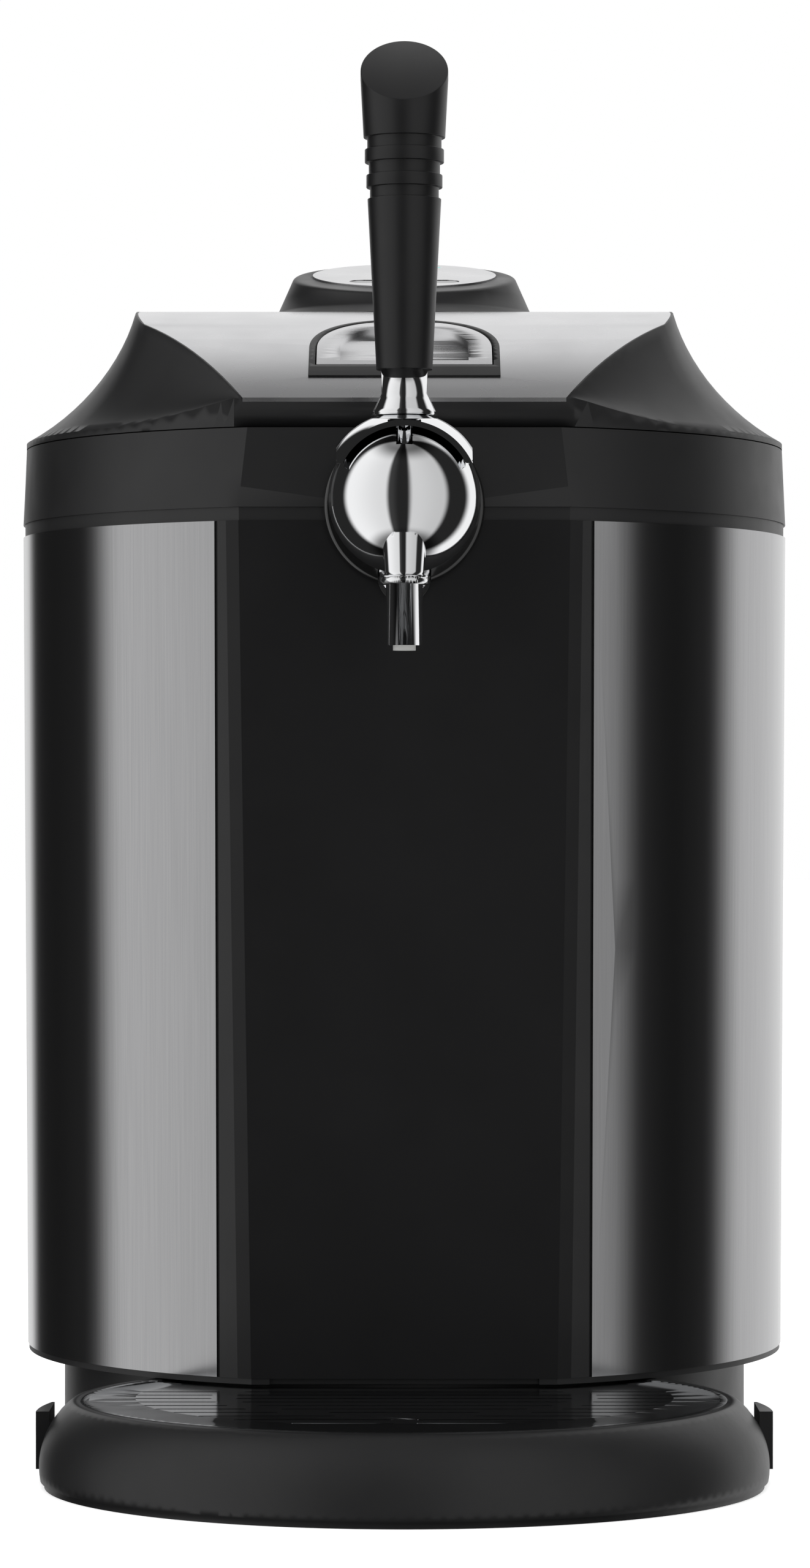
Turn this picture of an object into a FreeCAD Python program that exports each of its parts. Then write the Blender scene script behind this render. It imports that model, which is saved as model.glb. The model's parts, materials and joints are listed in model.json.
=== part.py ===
import FreeCAD, Part
import math
import os

# Countertop dispenser for a five litre mini keg, with a ball tap, a hinged lid and a drip tray.
# Millimetres. The shapes are drawn about the vertical axis of the round body, with the front
# towards -Y and +Z up, and are moved along Y when they are written, so that the origin is the
# middle of the footprint at the standing surface.

V = FreeCAD.Vector

# Round body
BODY_R_TOP = 137.9          # outer radius at the top of the steel
BODY_TAPER = 1.7            # how much narrower the steel is at its foot
BODY_R_FOOT = BODY_R_TOP - BODY_TAPER
BODY_FOOT_Z = 28.4          # underside of the body
STEEL_FOOT_Z = 30.4         # lower edge of the steel sides
STEEL_H = 289.8             # height of the steel sides
STEEL_TOP_Z = STEEL_FOOT_Z + STEEL_H
FRONT_FLAT = 11.9           # how far the flat front stands inside the round
FRONT_REACH = BODY_R_TOP - FRONT_FLAT
PANEL_T = 2.0               # front panel thickness
SHELL_WALL = 2.6            # moulded shell under the steel
SHELL_FLOOR_T = 3.0         # floor of the moulded shell
STEEL_T = 1.0               # steel skin
STEEL_FRONT_DEG = 27.8      # front edge of each steel side, from straight ahead
STEEL_REAR_DEG = 149.5      # rear edge of each steel side
SLIT_DEG = 0.5              # dark slit at the front edge of the steel

# Trim band and collar
BAND_H = 4.6                # height of the black band above the steel
BAND_TOP_Z = STEEL_TOP_Z + BAND_H
BAND_INSET = 0.7            # how far the band stands back
COLLAR_TAPER = 1.2          # how much narrower the collar is at its top
COLLAR_R_FOOT = BODY_R_TOP
COLLAR_R_TOP = COLLAR_R_FOOT - COLLAR_TAPER
COLLAR_H = 26.8
COLLAR_TOP_Z = BAND_TOP_Z + COLLAR_H    # parting plane below the lid
COLLAR_WALL = 5.5
FLANGE_T = 3.6              # inward flange at the collar's top

# Cold chamber
KEG_R = 86.0                # a five litre keg is 172 across
MOUTH_MARGIN = 14.0         # room round the keg in the mouth
FLANGE_R = KEG_R + MOUTH_MARGIN
KEG_CLEARANCE = 3.0
LINER_WALL = 2.0
CHAMBER_FLOOR_Z = 48.0
GASKET_R = FLANGE_R + 1.5
GASKET_WIDTH = 5.0
GASKET_T = 0.9

# Base
COLUMN_INSET = 13.2         # how far the pedestal stands inside the steel
COLUMN_R = BODY_R_FOOT - COLUMN_INSET
COLUMN_WALL = 3.0
FOOT_T = 2.0                # rubber feet
FOOT_R = 9.0
FOOT_CIRCLE_R = COLUMN_R - 25.0
FOOT_COUNT = 5
TONGUE_HALF = 79.0          # tongue that the drip tray slides over
RAIL_W = 7.0                # side rails of the tongue
CHANNEL_W = 12.0            # ways for the release teeth beside the rails
TONGUE_ROOT = 95.0          # where the tongue starts inside the pedestal
RAIL_ROOT = 60.0
TONGUE_Z = 3.0
TONGUE_T = 3.0
TONGUE_PAST = 4.0           # tongue's end ahead of the tray's centre

# Drip tray, an ellipse in plan
TRAY_AHEAD = 36.0           # centre of the ellipse ahead of the front face
TRAY_CENTRE = FRONT_REACH + TRAY_AHEAD
TRAY_A = 120.0              # half width at the foot
TRAY_B = 102.5              # half depth at the foot
TRAY_FOOT_INSET = 1.3
TRAY_FOOT_H = 2.2
TRAY_RIM_A = TRAY_A - 10.5  # half width where the shoulder meets the rim
TRAY_SHOULDER_A = TRAY_A - 3.6
TRAY_SHOULDER_Z = 20.6
TRAY_RIM_Z = 28.0
TRAY_WALL = 2.4
TRAY_FLOOR_Z = 10.6
TRAY_FLOOR_T = 1.6
TRAY_GAP = 0.4              # between the tray and the column
TRAY_TRAVEL = 130.0
PLATE_A = TRAY_A - 13.5     # drip plate
PLATE_B = TRAY_B - 15.5
PLATE_TOP_Z = 27.6
PLATE_T = 2.6
PLATE_RIM_W = 2.4
PLATE_RIM_H = 0.5
PLATE_GAP = 0.4
PLATE_BACK_GAP = 1.2        # between the plate and the body, so that it lifts out
LEDGE_W = 4.0
SLOT_FIRST = TRAY_CENTRE - 22.8     # first row of drain slots
SLOT_PITCH = 9.2
SLOT_ROWS = 10
SLOT_HALF = 0.9
SLOT_CENTRE = TRAY_CENTRE - 9.0     # centre of the slot pattern's ellipses
SLOT_ELLIPSES = ((0.0, 0.0, 56.0, 46.0), (64.0, 54.0, 89.5, 75.5))
SLOT_BRIDGE = 3.5           # half width of the bar between the front slots

# Tray release pads
PAD_FORWARD = TRAY_CENTRE - 12.0
PAD_HALF = 13.0
PAD_PROUD = 1.6             # how far the pads stand out of the skirt
PAD_FACE = TRAY_A + PAD_PROUD
PAD_Z0 = 5.0
PAD_Z1 = 24.0
PAD_GAP = 0.4
PAD_TRAVEL = 2.5
PAD_SKIN = 2.2
STEM_HALF = 5.0
STEM_T = 2.6
TOOTH_T = 3.0

# Lid
LID_GAP = 0.4
LID_WALL = 3.0
LID_R = COLLAR_R_TOP
LID_RISE = 48.9             # top of the lid above the collar
LID_TOP_Z = COLLAR_TOP_Z + LID_RISE
BARREL_R = 164.5            # curve of the silver plate, seen from the side
BARREL_FORWARD = 18.0       # crown line of the plate ahead of the axis
LID_FRONT = FRONT_REACH - 2.0
LID_REAR = LID_R - 18.7
LID_REAR_ROUND = 28.0
RIDGE_X = LID_R - 41.7      # half width of the plate behind
RIDGE_FRONT_X = LID_R - 81.1    # half width of the plate at the front
RIDGE_TURN_X = RIDGE_X - 3.5
RIDGE_TURN = LID_FRONT - 53.0
RIDGE_STRAIGHT = RIDGE_TURN - 26.0
COVE_FOOT_Z = COLLAR_TOP_Z + 2.4    # where the hollow sides meet the rim
COVE_RISE = 7.7             # how much higher that is at the front
COVE_RISE_FROM = LID_FRONT - 36.0
COVE_RISE_POWER = 2.6
COVE_SAG = 0.092            # hollow of the cove against its chord
LID_STATIONS = 24           # cross-sections between the front and the axis
SKIN_T = 1.4                # silver plate
SKIN_BORDER = 0.9           # black border along the plate
INNER_PANEL_R = LID_R - 19.7
INNER_PANEL_T = 3.0
PLUG_R = FLANGE_R - 2.0
PLUG_WALL = 4.0
PLUG_DEPTH = 6.0
LID_FOAM_R = PLUG_R - 18.0
LID_FOAM_T = 16.0
LID_FOAM_FRONT = 60.0       # room ahead for the latch
LID_POST_X = 60.0           # posts between the inner cover and the lid
LID_POST_BACK = 70.0
LID_POST_R = 4.0

# Hinge of the lid
HINGE_BACK = COLLAR_R_FOOT + 6.1
HINGE_Z = COLLAR_TOP_Z - 5.6
HINGE_X = 40.0
HINGE_PIN_R = 2.0
HINGE_KNUCKLE_R = 6.0
HINGE_ARM_HALF = 6.6
HINGE_LUG_T = 3.2
HINGE_SIDE_GAP = 0.4
RUNNING_FIT = 0.05
LID_OPEN_DEG = 80.0

# Control pad on the lid
DIAL_BACK = 25.0            # centre of the pad behind the axis
DIAL_FOOT_R = 54.0
DIAL_WAIST_R = 46.5
DIAL_TOP_R = 42.5
DIAL_SKIRT_H = 4.0
DIAL_WAIST_RISE = 13.0      # height of the top radius above the lid
DIAL_TALL = 30.0            # cone that the sloping face cuts
DIAL_ROUND = 2.0
DIAL_TOP_Z = LID_TOP_Z + 18.0   # height of the sloping face at its centre
DIAL_TILT_DEG = 13.0
DISC_R = 33.7
DISC_T = 2.0
DISC_PROUD = 0.6
WINDOW_HALF = 20.0
WINDOW_FORWARD = 19.0       # display bar ahead of the disc's centre
WINDOW_R = 5.0
LAMP_X = 12.0
LAMP_BACK = 24.0
LAMP_R = 1.6

# Release button on the plate
BUTTON_DEG = 28.4           # place on the barrel, from its crown
BEZEL_HALF = 32.7
BEZEL_STRAIGHT = 20.7
BUTTON_HALF = 30.0
BUTTON_STRAIGHT = 13.0
BUTTON_GAP = 0.5
BUTTON_PROUD = 0.5
BUTTON_T = 5.0
BUTTON_TRAVEL = 2.5
BUTTON_STEM_R = 5.0
BUTTON_STEM_END = 14.0
BEZEL_FLOOR = 9.8
BEZEL_FLOOR_T = 1.6
BEZEL_PROUD = 0.6
DISH_INSET = 3.0
DISH_FLOOR_HALF = 22.0
DISH_DEPTH = 1.8
SPRING_R = 7.5
SPRING_WIRE = 0.3           # radius of the wire
SPRING_TURNS = 3

# Latch
SLIDER_HALF = 7.0
SLIDER_T = 3.0
HOOK_FRONT = FRONT_REACH - 13.5
SLIDER_BACK_END = HOOK_FRONT - 34.5
HOOK_T = 2.5
HOOK_FOOT_Z = COLLAR_TOP_Z - 10.0
HOOK_NOSE = 1.1
HOOK_NOSE_T = 3.4
KEEPER_GAP = 0.4
KEEPER_T = 2.5
KEEPER_HALF = 12.0

# Tap
TAP_AHEAD = 46.0            # centre of the ball ahead of the front face
TAP_FORWARD = FRONT_REACH + TAP_AHEAD
TAP_Z = STEEL_TOP_Z + 4.8
BALL_R = 25.0
NECK_R = 19.0
SADDLE_GAP = 1.6
SADDLE_T = 1.6
SADDLE_HALF = 22.2
SADDLE_REACH = 14.0
SADDLE_FOOT = 10.4
STALK_R = 7.6
STALK_FLARE_R = 11.0
STALK_FLARE_Z = TAP_Z + 34.0
STALK_TOP_Z = TAP_Z + 41.9
STUD_R = 3.0
STUD_TOP_Z = STALK_TOP_Z + 21.1
LEVER_SLOT_HALF = 2.65
LEVER_BLADE_HALF = 2.2
LEVER_HUB_R = 4.5
LEVER_PIN_R = 2.0
LEVER_PIN_HALF = 12.0
LEVER_CAVITY_R = 12.5
LEVER_CAVITY_HALF = 5.0
LEVER_FINGER_R = 0.9
LEVER_BALL_R = 2.5
LEVER_BALL_DROP = 9.0
LEVER_DEG = 35.0
SLOT_MARGIN_DEG = 14.5      # room beside the blade at both ends of its travel
VALVE_R = 4.0
VALVE_NOTCH_HALF = 3.0
VALVE_BACK = 20.0
VALVE_FRONT = 9.0
VALVE_TRAVEL = 5.2
ESCUTCHEON_R = 27.2
ESCUTCHEON_T = 5.0
SHANK_R = 6.0
SHANK_BORE_R = 2.5
SHANK_END = FRONT_REACH - 18.0
NUT_T = 5.0
NUT_R = 10.5
BLOCK_HALF = 8.2
BLOCK_FOOT_Z = TAP_Z - 32.0
BLOCK_REACH = TAP_FORWARD - 9.0
SEAL_MARGIN = 0.8
SEAL_T = 2.0
NOZZLE_FORWARD = TAP_FORWARD + 15.0
NOZZLE_TOP_R = 6.8
NOZZLE_FLANGE_R = 8.3
NOZZLE_FLANGE_Z = TAP_Z - 29.1
NOZZLE_FLANGE_T = 2.6
NOZZLE_R = 6.0
NOZZLE_FOOT_Z = TAP_Z - 49.0
NOZZLE_BORE_R = 4.4
TIP_R = 3.7
TIP_WALL = 0.8
TIP_FOOT_Z = NOZZLE_FOOT_Z - 1.6
TIP_TOP_Z = NOZZLE_FOOT_Z + 16.0

# Handle, as height and radius from its foot upwards
HANDLE_FOOT_R = 9.2
HANDLE_CONE_R = 12.1
HANDLE_CONE_Z = STALK_TOP_Z + 56.1
HANDLE_RINGS = ((11.3, 3.6), (12.5, 4.2), (11.7, 4.0), (13.0, 4.4), (12.2, 3.8))
HANDLE_HEAD_R = 13.4
HANDLE_MAX_R = 14.4
HANDLE_MAX_Z = STALK_TOP_Z + 95.1
HANDLE_BACK_Z = HANDLE_MAX_Z + 15.2
HANDLE_FRONT_Z = HANDLE_MAX_Z - 8.5

# Beer line parked on the ledge
ELBOW_HALF = 7.0
ELBOW_FORWARD = SHANK_END - 10.0
HOSE_R = 4.0
HOSE_BORE_R = 2.5
HOSE_RUN = 8.0
HOSE_DEG = 90.0
COUPLER_R = 10.0
COUPLER_LENGTH = 22.0
COUPLER_GRIP_R = 9.0
COUPLER_GRIP_LENGTH = 12.0

# Cooling unit at the back
COOL_Z = 205.0
COLD_HALF = 30.0
COLD_T = 21.0
MODULE_HALF = 20.0
MODULE_T = 4.0
SINK_HALF = 45.0
SINK_BASE_T = 5.0
FIN_T = 1.5
FIN_COUNT = 16
FIN_LENGTH = 20.0
FAN_HALF = 46.0
FAN_T = 25.0
FAN_BORE_R = 43.0
FAN_HUB_R = 17.0
FAN_BLADES = 7
FAN_BLADE_GAP = 1.2
FAN_SHAFT_R = 1.5
FAN_GAP = 0.8
FAN_SPIDER_T = 3.0
SEAT_GAP = 0.3

# Rear housing
HOUSING_HALF = 72.0
HOUSING_DEPTH = 36.1        # how far the housing stands behind the steel
HOUSING_REACH = BODY_R_TOP + HOUSING_DEPTH
HOUSING_WALL = 2.5
HOUSING_Z0 = STEEL_FOOT_Z + 3.6
HOUSING_Z1 = STEEL_TOP_Z + 9.8
HOUSING_ROUND = 16.0
WINDOW_BODY_HALF = 50.0
WINDOW_BODY_Z = 64.0
GRILLE_HALF = 52.0
GRILLE_Z0 = COOL_Z - 77.0
GRILLE_Z1 = COOL_Z + 91.0
GRILLE_BARS = 20
GRILLE_SLOT = 4.4
SIDE_VENTS = 9
SIDE_VENT_PITCH = 12.0
SIDE_VENT_LENGTH = 26.0
SIDE_VENT_HALF = 2.2
BOARD_HALF = 42.0
BOARD_Z0 = 62.0
BOARD_Z1 = 118.0
BOARD_T = 1.6
SOCKET_X = 42.0
SOCKET_Z = 92.0
SOCKET_HALF = 12.0
SOCKET_RISE = 9.0
SOCKET_DEPTH = 16.0
SOCKET_WALL = 2.0
SCREW_R = 2.0
SCREW_HEAD_R = 3.8
SCREW_HEAD_T = 2.0
SCREW_LENGTH = 9.0

# Values that follow
BODY_Y = (TRAY_CENTRE + TRAY_B - HOUSING_REACH) / 2.0
LINER_R = KEG_R + KEG_CLEARANCE
LINER_OUT_R = LINER_R + LINER_WALL
LID_FOOT_Z = COLLAR_TOP_Z + LID_GAP
HOLLOW_FOOT_Z = LID_FOOT_Z - 2.0 * LID_WALL
INNER_PANEL_Z = COLLAR_TOP_Z + GASKET_T + SEAT_GAP
BARREL_Z = LID_TOP_Z - BARREL_R
COLLAR_IN_R = COLLAR_R_FOOT - COLLAR_WALL
VALVE_Z = TAP_Z - LEVER_BALL_DROP
DECK_TOP_Z = TAP_Z - COUPLER_R - SEAT_GAP
FAR = 400.0


# Basic solids, with distances ahead of the axis counted as forward

def block(x0, x1, back, front, z0, z1):
    """Box between two forward distances."""
    return Part.makeBox(x1 - x0, front - back, z1 - z0, V(x0, -front, z0))


def disc(radius, z0, z1, x=0.0, forward=0.0):
    """Upright cylinder."""
    return Part.makeCylinder(radius, z1 - z0, V(x, -forward, z0))


def ring(outer, inner, z0, z1):
    """Upright tube about the axis."""
    return disc(outer, z0, z1).cut(disc(inner, z0 - 1.0, z1 + 1.0))


def rod_forward(radius, back, front, x, z):
    """Cylinder that lies from back to front."""
    return Part.makeCylinder(radius, front - back, V(x, -back, z), V(0, -1, 0))


def rod_across(radius, x0, x1, forward, z):
    """Cylinder that lies from left to right."""
    return Part.makeCylinder(radius, x1 - x0, V(x0, -forward, z), V(1, 0, 0))


def prism(points, half):
    """Upright outline of (forward, height) points, extruded to both sides of the middle."""
    corners = [V(-half, -forward, z) for forward, z in points]
    face = Part.Face(Part.makePolygon(corners + corners[:1]))
    return face.extrude(V(2.0 * half, 0, 0))


def pie(start_deg, end_deg, z0, z1):
    """Wedge about the axis, with angles from straight ahead towards +X."""
    wedge = Part.makeCylinder(FAR, z1 - z0, V(0, 0, z0), V(0, 0, 1), end_deg - start_deg)
    wedge.rotate(V(0, 0, 0), V(0, 0, 1), start_deg - 90.0)
    return wedge


def mirrored(shape):
    """The same solid on the other side."""
    return shape.mirror(V(0, 0, 0), V(1, 0, 0))


def both_sides(shape):
    """A solid and its mirror image as a group."""
    return Part.makeCompound([shape, mirrored(shape)])


def cut_all(shape, tools):
    """One cut with many tools."""
    return shape.cut(Part.makeCompound(tools))


def body_radius(z):
    """Outer radius of the body at a height."""
    share = (z - STEEL_FOOT_Z) / (STEEL_TOP_Z - STEEL_FOOT_Z)
    return BODY_R_FOOT + share * (BODY_R_TOP - BODY_R_FOOT)


def body_form(inset, z0, z1, front_inset=None):
    """Tapered round body with its flat front, set in by a distance."""
    front = FRONT_REACH - (inset if front_inset is None else front_inset)
    cone = Part.makeCone(body_radius(z0) - inset, body_radius(z1) - inset, z1 - z0, V(0, 0, z0))
    return cone.common(block(-FAR, FAR, -FAR, front, z0, z1))


def collar_form(inset, z0, z1):
    """Tapered collar with its flat front, set in by a distance."""
    slope = (COLLAR_R_TOP - COLLAR_R_FOOT) / (COLLAR_TOP_Z - BAND_TOP_Z)
    low = COLLAR_R_FOOT + slope * (z0 - BAND_TOP_Z) - inset
    high = COLLAR_R_FOOT + slope * (z1 - BAND_TOP_Z) - inset
    cone = Part.makeCone(low, high, z1 - z0, V(0, 0, z0))
    return cone.common(block(-FAR, FAR, -FAR, FRONT_REACH - inset, z0, z1))


def ellipse_prism(a, b, z0, z1):
    """Upright elliptic solid about the tray's centre."""
    edge = Part.Ellipse(V(0, -TRAY_CENTRE, z0), a, b).toShape()
    return Part.Face(Part.Wire([edge])).extrude(V(0, 0, z1 - z0))


def save(name, shape):
    """Write one sub-part in the row's frame."""
    placed = shape.copy()
    placed.translate(V(0, BODY_Y, 0))
    placed.exportStep("parts/%s.step" % name)


# Base

def base_column():
    """Round pedestal, open below, that carries the body."""
    wall = ring(COLUMN_R, COLUMN_R - COLUMN_WALL, FOOT_T, BODY_FOOT_Z)
    top = disc(COLUMN_R, BODY_FOOT_Z - COLUMN_WALL, BODY_FOOT_Z)
    ways = [block(x0, x1, 0.0, FAR, TONGUE_Z, TONGUE_Z + TONGUE_T) for x0, x1, root in tongue_ways()]
    return cut_all(wall.fuse(top), ways).removeSplitter()


def base_plate():
    """Cover that closes the pedestal from below."""
    return disc(COLUMN_R - COLUMN_WALL, FOOT_T, TONGUE_Z)


def rubber_feet():
    """Round feet under the pedestal."""
    feet = []
    for index in range(FOOT_COUNT):
        turn = math.radians(360.0 * index / FOOT_COUNT)
        x = FOOT_CIRCLE_R * math.sin(turn)
        feet.append(disc(FOOT_R, 0.0, FOOT_T, x, FOOT_CIRCLE_R * math.cos(turn)))
    return Part.makeCompound(feet)


def tongue_ways():
    """The centre plate and the two side rails of the tongue, as (x0, x1, root)."""
    rail_in = TONGUE_HALF - RAIL_W
    centre = rail_in - CHANNEL_W
    return [(-centre, centre, TONGUE_ROOT), (rail_in, TONGUE_HALF, RAIL_ROOT), (-TONGUE_HALF, -rail_in, RAIL_ROOT)]


def tray_tongue():
    """Flat tongue ahead of the pedestal, with a rail on each side for the release teeth."""
    reach = TRAY_CENTRE + TONGUE_PAST
    z1 = TONGUE_Z + TONGUE_T
    return Part.makeCompound([block(x0, x1, root, reach, TONGUE_Z, z1) for x0, x1, root in tongue_ways()])


# Drip tray

def bell(inset, z0, z1):
    """Domed skirt of the tray, set in by a distance, as a round form squeezed to the ellipse."""
    foot = TRAY_A - inset
    rim = TRAY_RIM_A - inset
    top = TRAY_RIM_Z - inset
    low = V(foot, 0, TRAY_FOOT_H)
    middle = V(TRAY_SHOULDER_A - inset, 0, TRAY_SHOULDER_Z - inset / 2.0)
    high = V(rim, 0, top)
    edges = [
        Part.LineSegment(V(0, 0, 0), V(foot - TRAY_FOOT_INSET, 0, 0)).toShape(),
        Part.LineSegment(V(foot - TRAY_FOOT_INSET, 0, 0), V(foot - TRAY_FOOT_INSET, 0, TRAY_FOOT_H)).toShape(),
        Part.LineSegment(V(foot - TRAY_FOOT_INSET, 0, TRAY_FOOT_H), low).toShape(),
        Part.Arc(low, middle, high).toShape(),
        Part.LineSegment(high, V(0, 0, top)).toShape(),
        Part.LineSegment(V(0, 0, top), V(0, 0, 0)).toShape(),
    ]
    round_form = Part.Face(Part.Wire(edges)).revolve(V(0, 0, 0), V(0, 0, 1), 360.0)
    squeeze = FreeCAD.Matrix()
    squeeze.scale(V(1.0, (TRAY_B - inset) / foot, 1.0))
    form = round_form.transformGeometry(squeeze)
    form.translate(V(0, -TRAY_CENTRE, 0))
    return form.common(block(-FAR, FAR, -FAR, FAR, z0, z1))


def pad_blank(grow):
    """Outline of one release pad, grown by a gap."""
    return block(TRAY_A / 2.0, PAD_FACE, PAD_FORWARD - PAD_HALF - grow,
                 PAD_FORWARD + PAD_HALF + grow, PAD_Z0 - grow, PAD_Z1 + grow)


def drip_tray():
    """Bell with the catch pan inside it, open to the pedestal at the back."""
    rim_in = PLATE_A + PLATE_GAP
    seat_z = PLATE_TOP_Z - PLATE_T
    hollow = bell(TRAY_WALL, -1.0, FAR)
    skirt = bell(0.0, 0.0, FAR).cut(hollow)
    skirt = skirt.cut(disc(COLUMN_R + TRAY_GAP, -1.0, FAR))
    pan_a = PLATE_A - LEDGE_W
    pan_b = PLATE_B - LEDGE_W
    pan_foot = TRAY_FLOOR_Z
    outer = ellipse_prism(pan_a + TRAY_WALL, pan_b + TRAY_WALL, pan_foot, TRAY_RIM_Z)
    inner = ellipse_prism(pan_a, pan_b, pan_foot + TRAY_FLOOR_T, FAR)
    back_wall = COLUMN_R + TRAY_GAP
    inner = inner.cut(disc(back_wall + TRAY_WALL, 0.0, FAR))
    ledge = ellipse_prism(TRAY_SHOULDER_A, TRAY_B, seat_z - TRAY_WALL, TRAY_RIM_Z)
    pan = outer.fuse(ledge).cut(disc(back_wall, 0.0, FAR))
    whole = skirt.fuse(pan.common(bell(0.0, 0.0, FAR)))
    seat = ellipse_prism(rim_in, PLATE_B + PLATE_GAP, seat_z, FAR)
    whole = cut_all(whole, [inner]).cut(seat)
    whole = whole.common(block(-FAR, FAR, -FAR, FAR, 0.0, TRAY_RIM_Z))
    gates = pad_blank(PAD_GAP).cut(ellipse_prism(PLATE_A + LEDGE_W, PLATE_B + LEDGE_W, 0.0, FAR))
    pockets = [gates, mirrored(gates)]
    stems = block(TONGUE_HALF, PAD_FACE, PAD_FORWARD - STEM_HALF - PAD_GAP,
                  PAD_FORWARD + STEM_HALF + PAD_GAP, 0.5, TRAY_FLOOR_Z - 0.4)
    pockets = pockets + [stems.common(bell(0.0, -1.0, FAR)), mirrored(stems)]
    whole = cut_all(whole, pockets)
    solids = sorted(whole.Solids, key=lambda solid: solid.Volume)
    return solids[-1]


def slot_cut(x0, x1, forward):
    """One drain slot with round ends."""
    z0 = PLATE_TOP_Z - PLATE_T - 1.0
    z1 = PLATE_TOP_Z + PLATE_RIM_H + 1.0
    middle = block(x0 + SLOT_HALF, x1 - SLOT_HALF, forward - SLOT_HALF, forward + SLOT_HALF, z0, z1)
    left = disc(SLOT_HALF, z0, z1, x0 + SLOT_HALF, forward)
    right = disc(SLOT_HALF, z0, z1, x1 - SLOT_HALF, forward)
    return middle.fuse([left, right])


def half_chord(a, b, offset):
    """Half width of an ellipse at a distance from its centre line."""
    if a == 0.0 or abs(offset) >= b:
        return 0.0
    return a * math.sqrt(1.0 - (offset / b) ** 2)


def slot_cuts():
    """All the drain slots, between two pairs of ellipses."""
    cuts = []
    for row in range(SLOT_ROWS):
        forward = SLOT_FIRST + SLOT_PITCH * row
        offset = forward - SLOT_CENTRE
        for in_a, in_b, out_a, out_b in SLOT_ELLIPSES:
            outer = half_chord(out_a, out_b, offset)
            inner = half_chord(in_a, in_b, offset)
            if outer - inner < 4.0 * SLOT_HALF:
                continue
            if in_a == 0.0:
                cuts.append(slot_cut(-outer, outer, forward))
                continue
            inner = max(inner, SLOT_BRIDGE)
            cuts.append(slot_cut(inner, outer, forward))
            cuts.append(slot_cut(-outer, -inner, forward))
    return cuts


def drip_plate():
    """Slotted plate with a raised rim, lying on the tray's ledge."""
    z0 = PLATE_TOP_Z - PLATE_T
    z1 = PLATE_TOP_Z + PLATE_RIM_H
    plate = ellipse_prism(PLATE_A, PLATE_B, z0, z1)
    outline = Part.makeCylinder(body_radius(BODY_FOOT_Z) + PLATE_BACK_GAP, FAR)
    plate = plate.cut(outline.common(block(-FAR, FAR, -FAR, FRONT_REACH + PLATE_BACK_GAP, 0.0, FAR)))
    dish = ellipse_prism(PLATE_A - PLATE_RIM_W, PLATE_B - PLATE_RIM_W, PLATE_TOP_Z, FAR)
    return cut_all(plate.cut(dish), slot_cuts())


def tray_button():
    """Release pad with its stem and tooth, on the +X side."""
    skin = pad_blank(0.0).common(block(PAD_FACE - FAR, PAD_FACE, -FAR, FAR, 0.0, FAR))
    face = skin.common(ellipse_prism(PAD_FACE, TRAY_B + PAD_PROUD, 0.0, FAR))
    face = face.cut(block(-FAR, PAD_FACE - 2.0 * PAD_SKIN, -FAR, FAR, 0.0, FAR))
    back = PAD_FORWARD - STEM_HALF
    front = PAD_FORWARD + STEM_HALF
    z0 = TONGUE_Z + TONGUE_T + SEAT_GAP
    x_in = TONGUE_HALF - RAIL_W - SEAT_GAP - TOOTH_T
    stem = block(x_in, PAD_FACE - PAD_SKIN, back, front, z0, z0 + STEM_T)
    tooth = block(x_in, x_in + TOOTH_T, back, front, TONGUE_Z + SEAT_GAP, z0 + STEM_T)
    return face.fuse([stem, tooth]).removeSplitter()


# Body

def cool_window(extra):
    """Opening through the back of the body for the cooling unit."""
    half = WINDOW_BODY_HALF + extra
    rise = WINDOW_BODY_Z + extra
    return block(-half, half, -FAR, -LINER_OUT_R - COLD_T, COOL_Z - rise, COOL_Z + rise)


def shank_hole(gap):
    """Round way for the tap's shank."""
    return rod_forward(SHANK_R + gap, SHANK_END - 20.0, FRONT_REACH + 1.0, 0.0, TAP_Z)


def body_shell():
    """Moulded shell that carries the steel skin."""
    shell = body_form(0.0, BODY_FOOT_Z, STEEL_TOP_Z, PANEL_T)
    hollow = body_form(SHELL_WALL, BODY_FOOT_Z + SHELL_FLOOR_T, STEEL_TOP_Z, PANEL_T + SHELL_WALL)
    shell = shell.cut(hollow)
    recess = body_form(-1.0, STEEL_FOOT_Z, STEEL_TOP_Z).cut(body_form(STEEL_T, STEEL_FOOT_Z, STEEL_TOP_Z))
    wedge = pie(STEEL_FRONT_DEG - SLIT_DEG, STEEL_REAR_DEG, STEEL_FOOT_Z, STEEL_TOP_Z)
    recess = recess.common(wedge)
    foot_ring = ring(FAR, BODY_R_FOOT - SHELL_WALL, BODY_FOOT_Z - 1.0, STEEL_FOOT_Z)
    tools = [recess, mirrored(recess), cool_window(0.0), foot_ring, shank_hole(RUNNING_FIT)]
    return cut_all(shell, tools).removeSplitter()


def base_rim():
    """Thin dark ring under the steel."""
    outer = body_form(0.4, BODY_FOOT_Z, STEEL_FOOT_Z)
    hole = disc(BODY_R_FOOT - SHELL_WALL, 0.0, FAR)
    return outer.cut(hole)


def front_panel():
    """Flat bare panel between the steel sides."""
    slab = body_form(0.0, STEEL_FOOT_Z, STEEL_TOP_Z)
    return cut_all(slab, [block(-FAR, FAR, -FAR, FRONT_REACH - PANEL_T, 0.0, FAR), shank_hole(RUNNING_FIT)])


def steel_side():
    """Bent steel skin on the +X side."""
    skin = body_form(0.0, STEEL_FOOT_Z, STEEL_TOP_Z, -FAR)
    skin = skin.cut(body_form(STEEL_T, STEEL_FOOT_Z, STEEL_TOP_Z, -FAR))
    return skin.common(pie(STEEL_FRONT_DEG, STEEL_REAR_DEG, STEEL_FOOT_Z, STEEL_TOP_Z))


def trim_band():
    """Black band between the steel and the collar."""
    outer = body_form(BAND_INSET, STEEL_TOP_Z, BAND_TOP_Z)
    inner = body_form(SHELL_WALL + PANEL_T, STEEL_TOP_Z, BAND_TOP_Z)
    return outer.cut(inner).cut(shank_hole(RUNNING_FIT))


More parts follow.
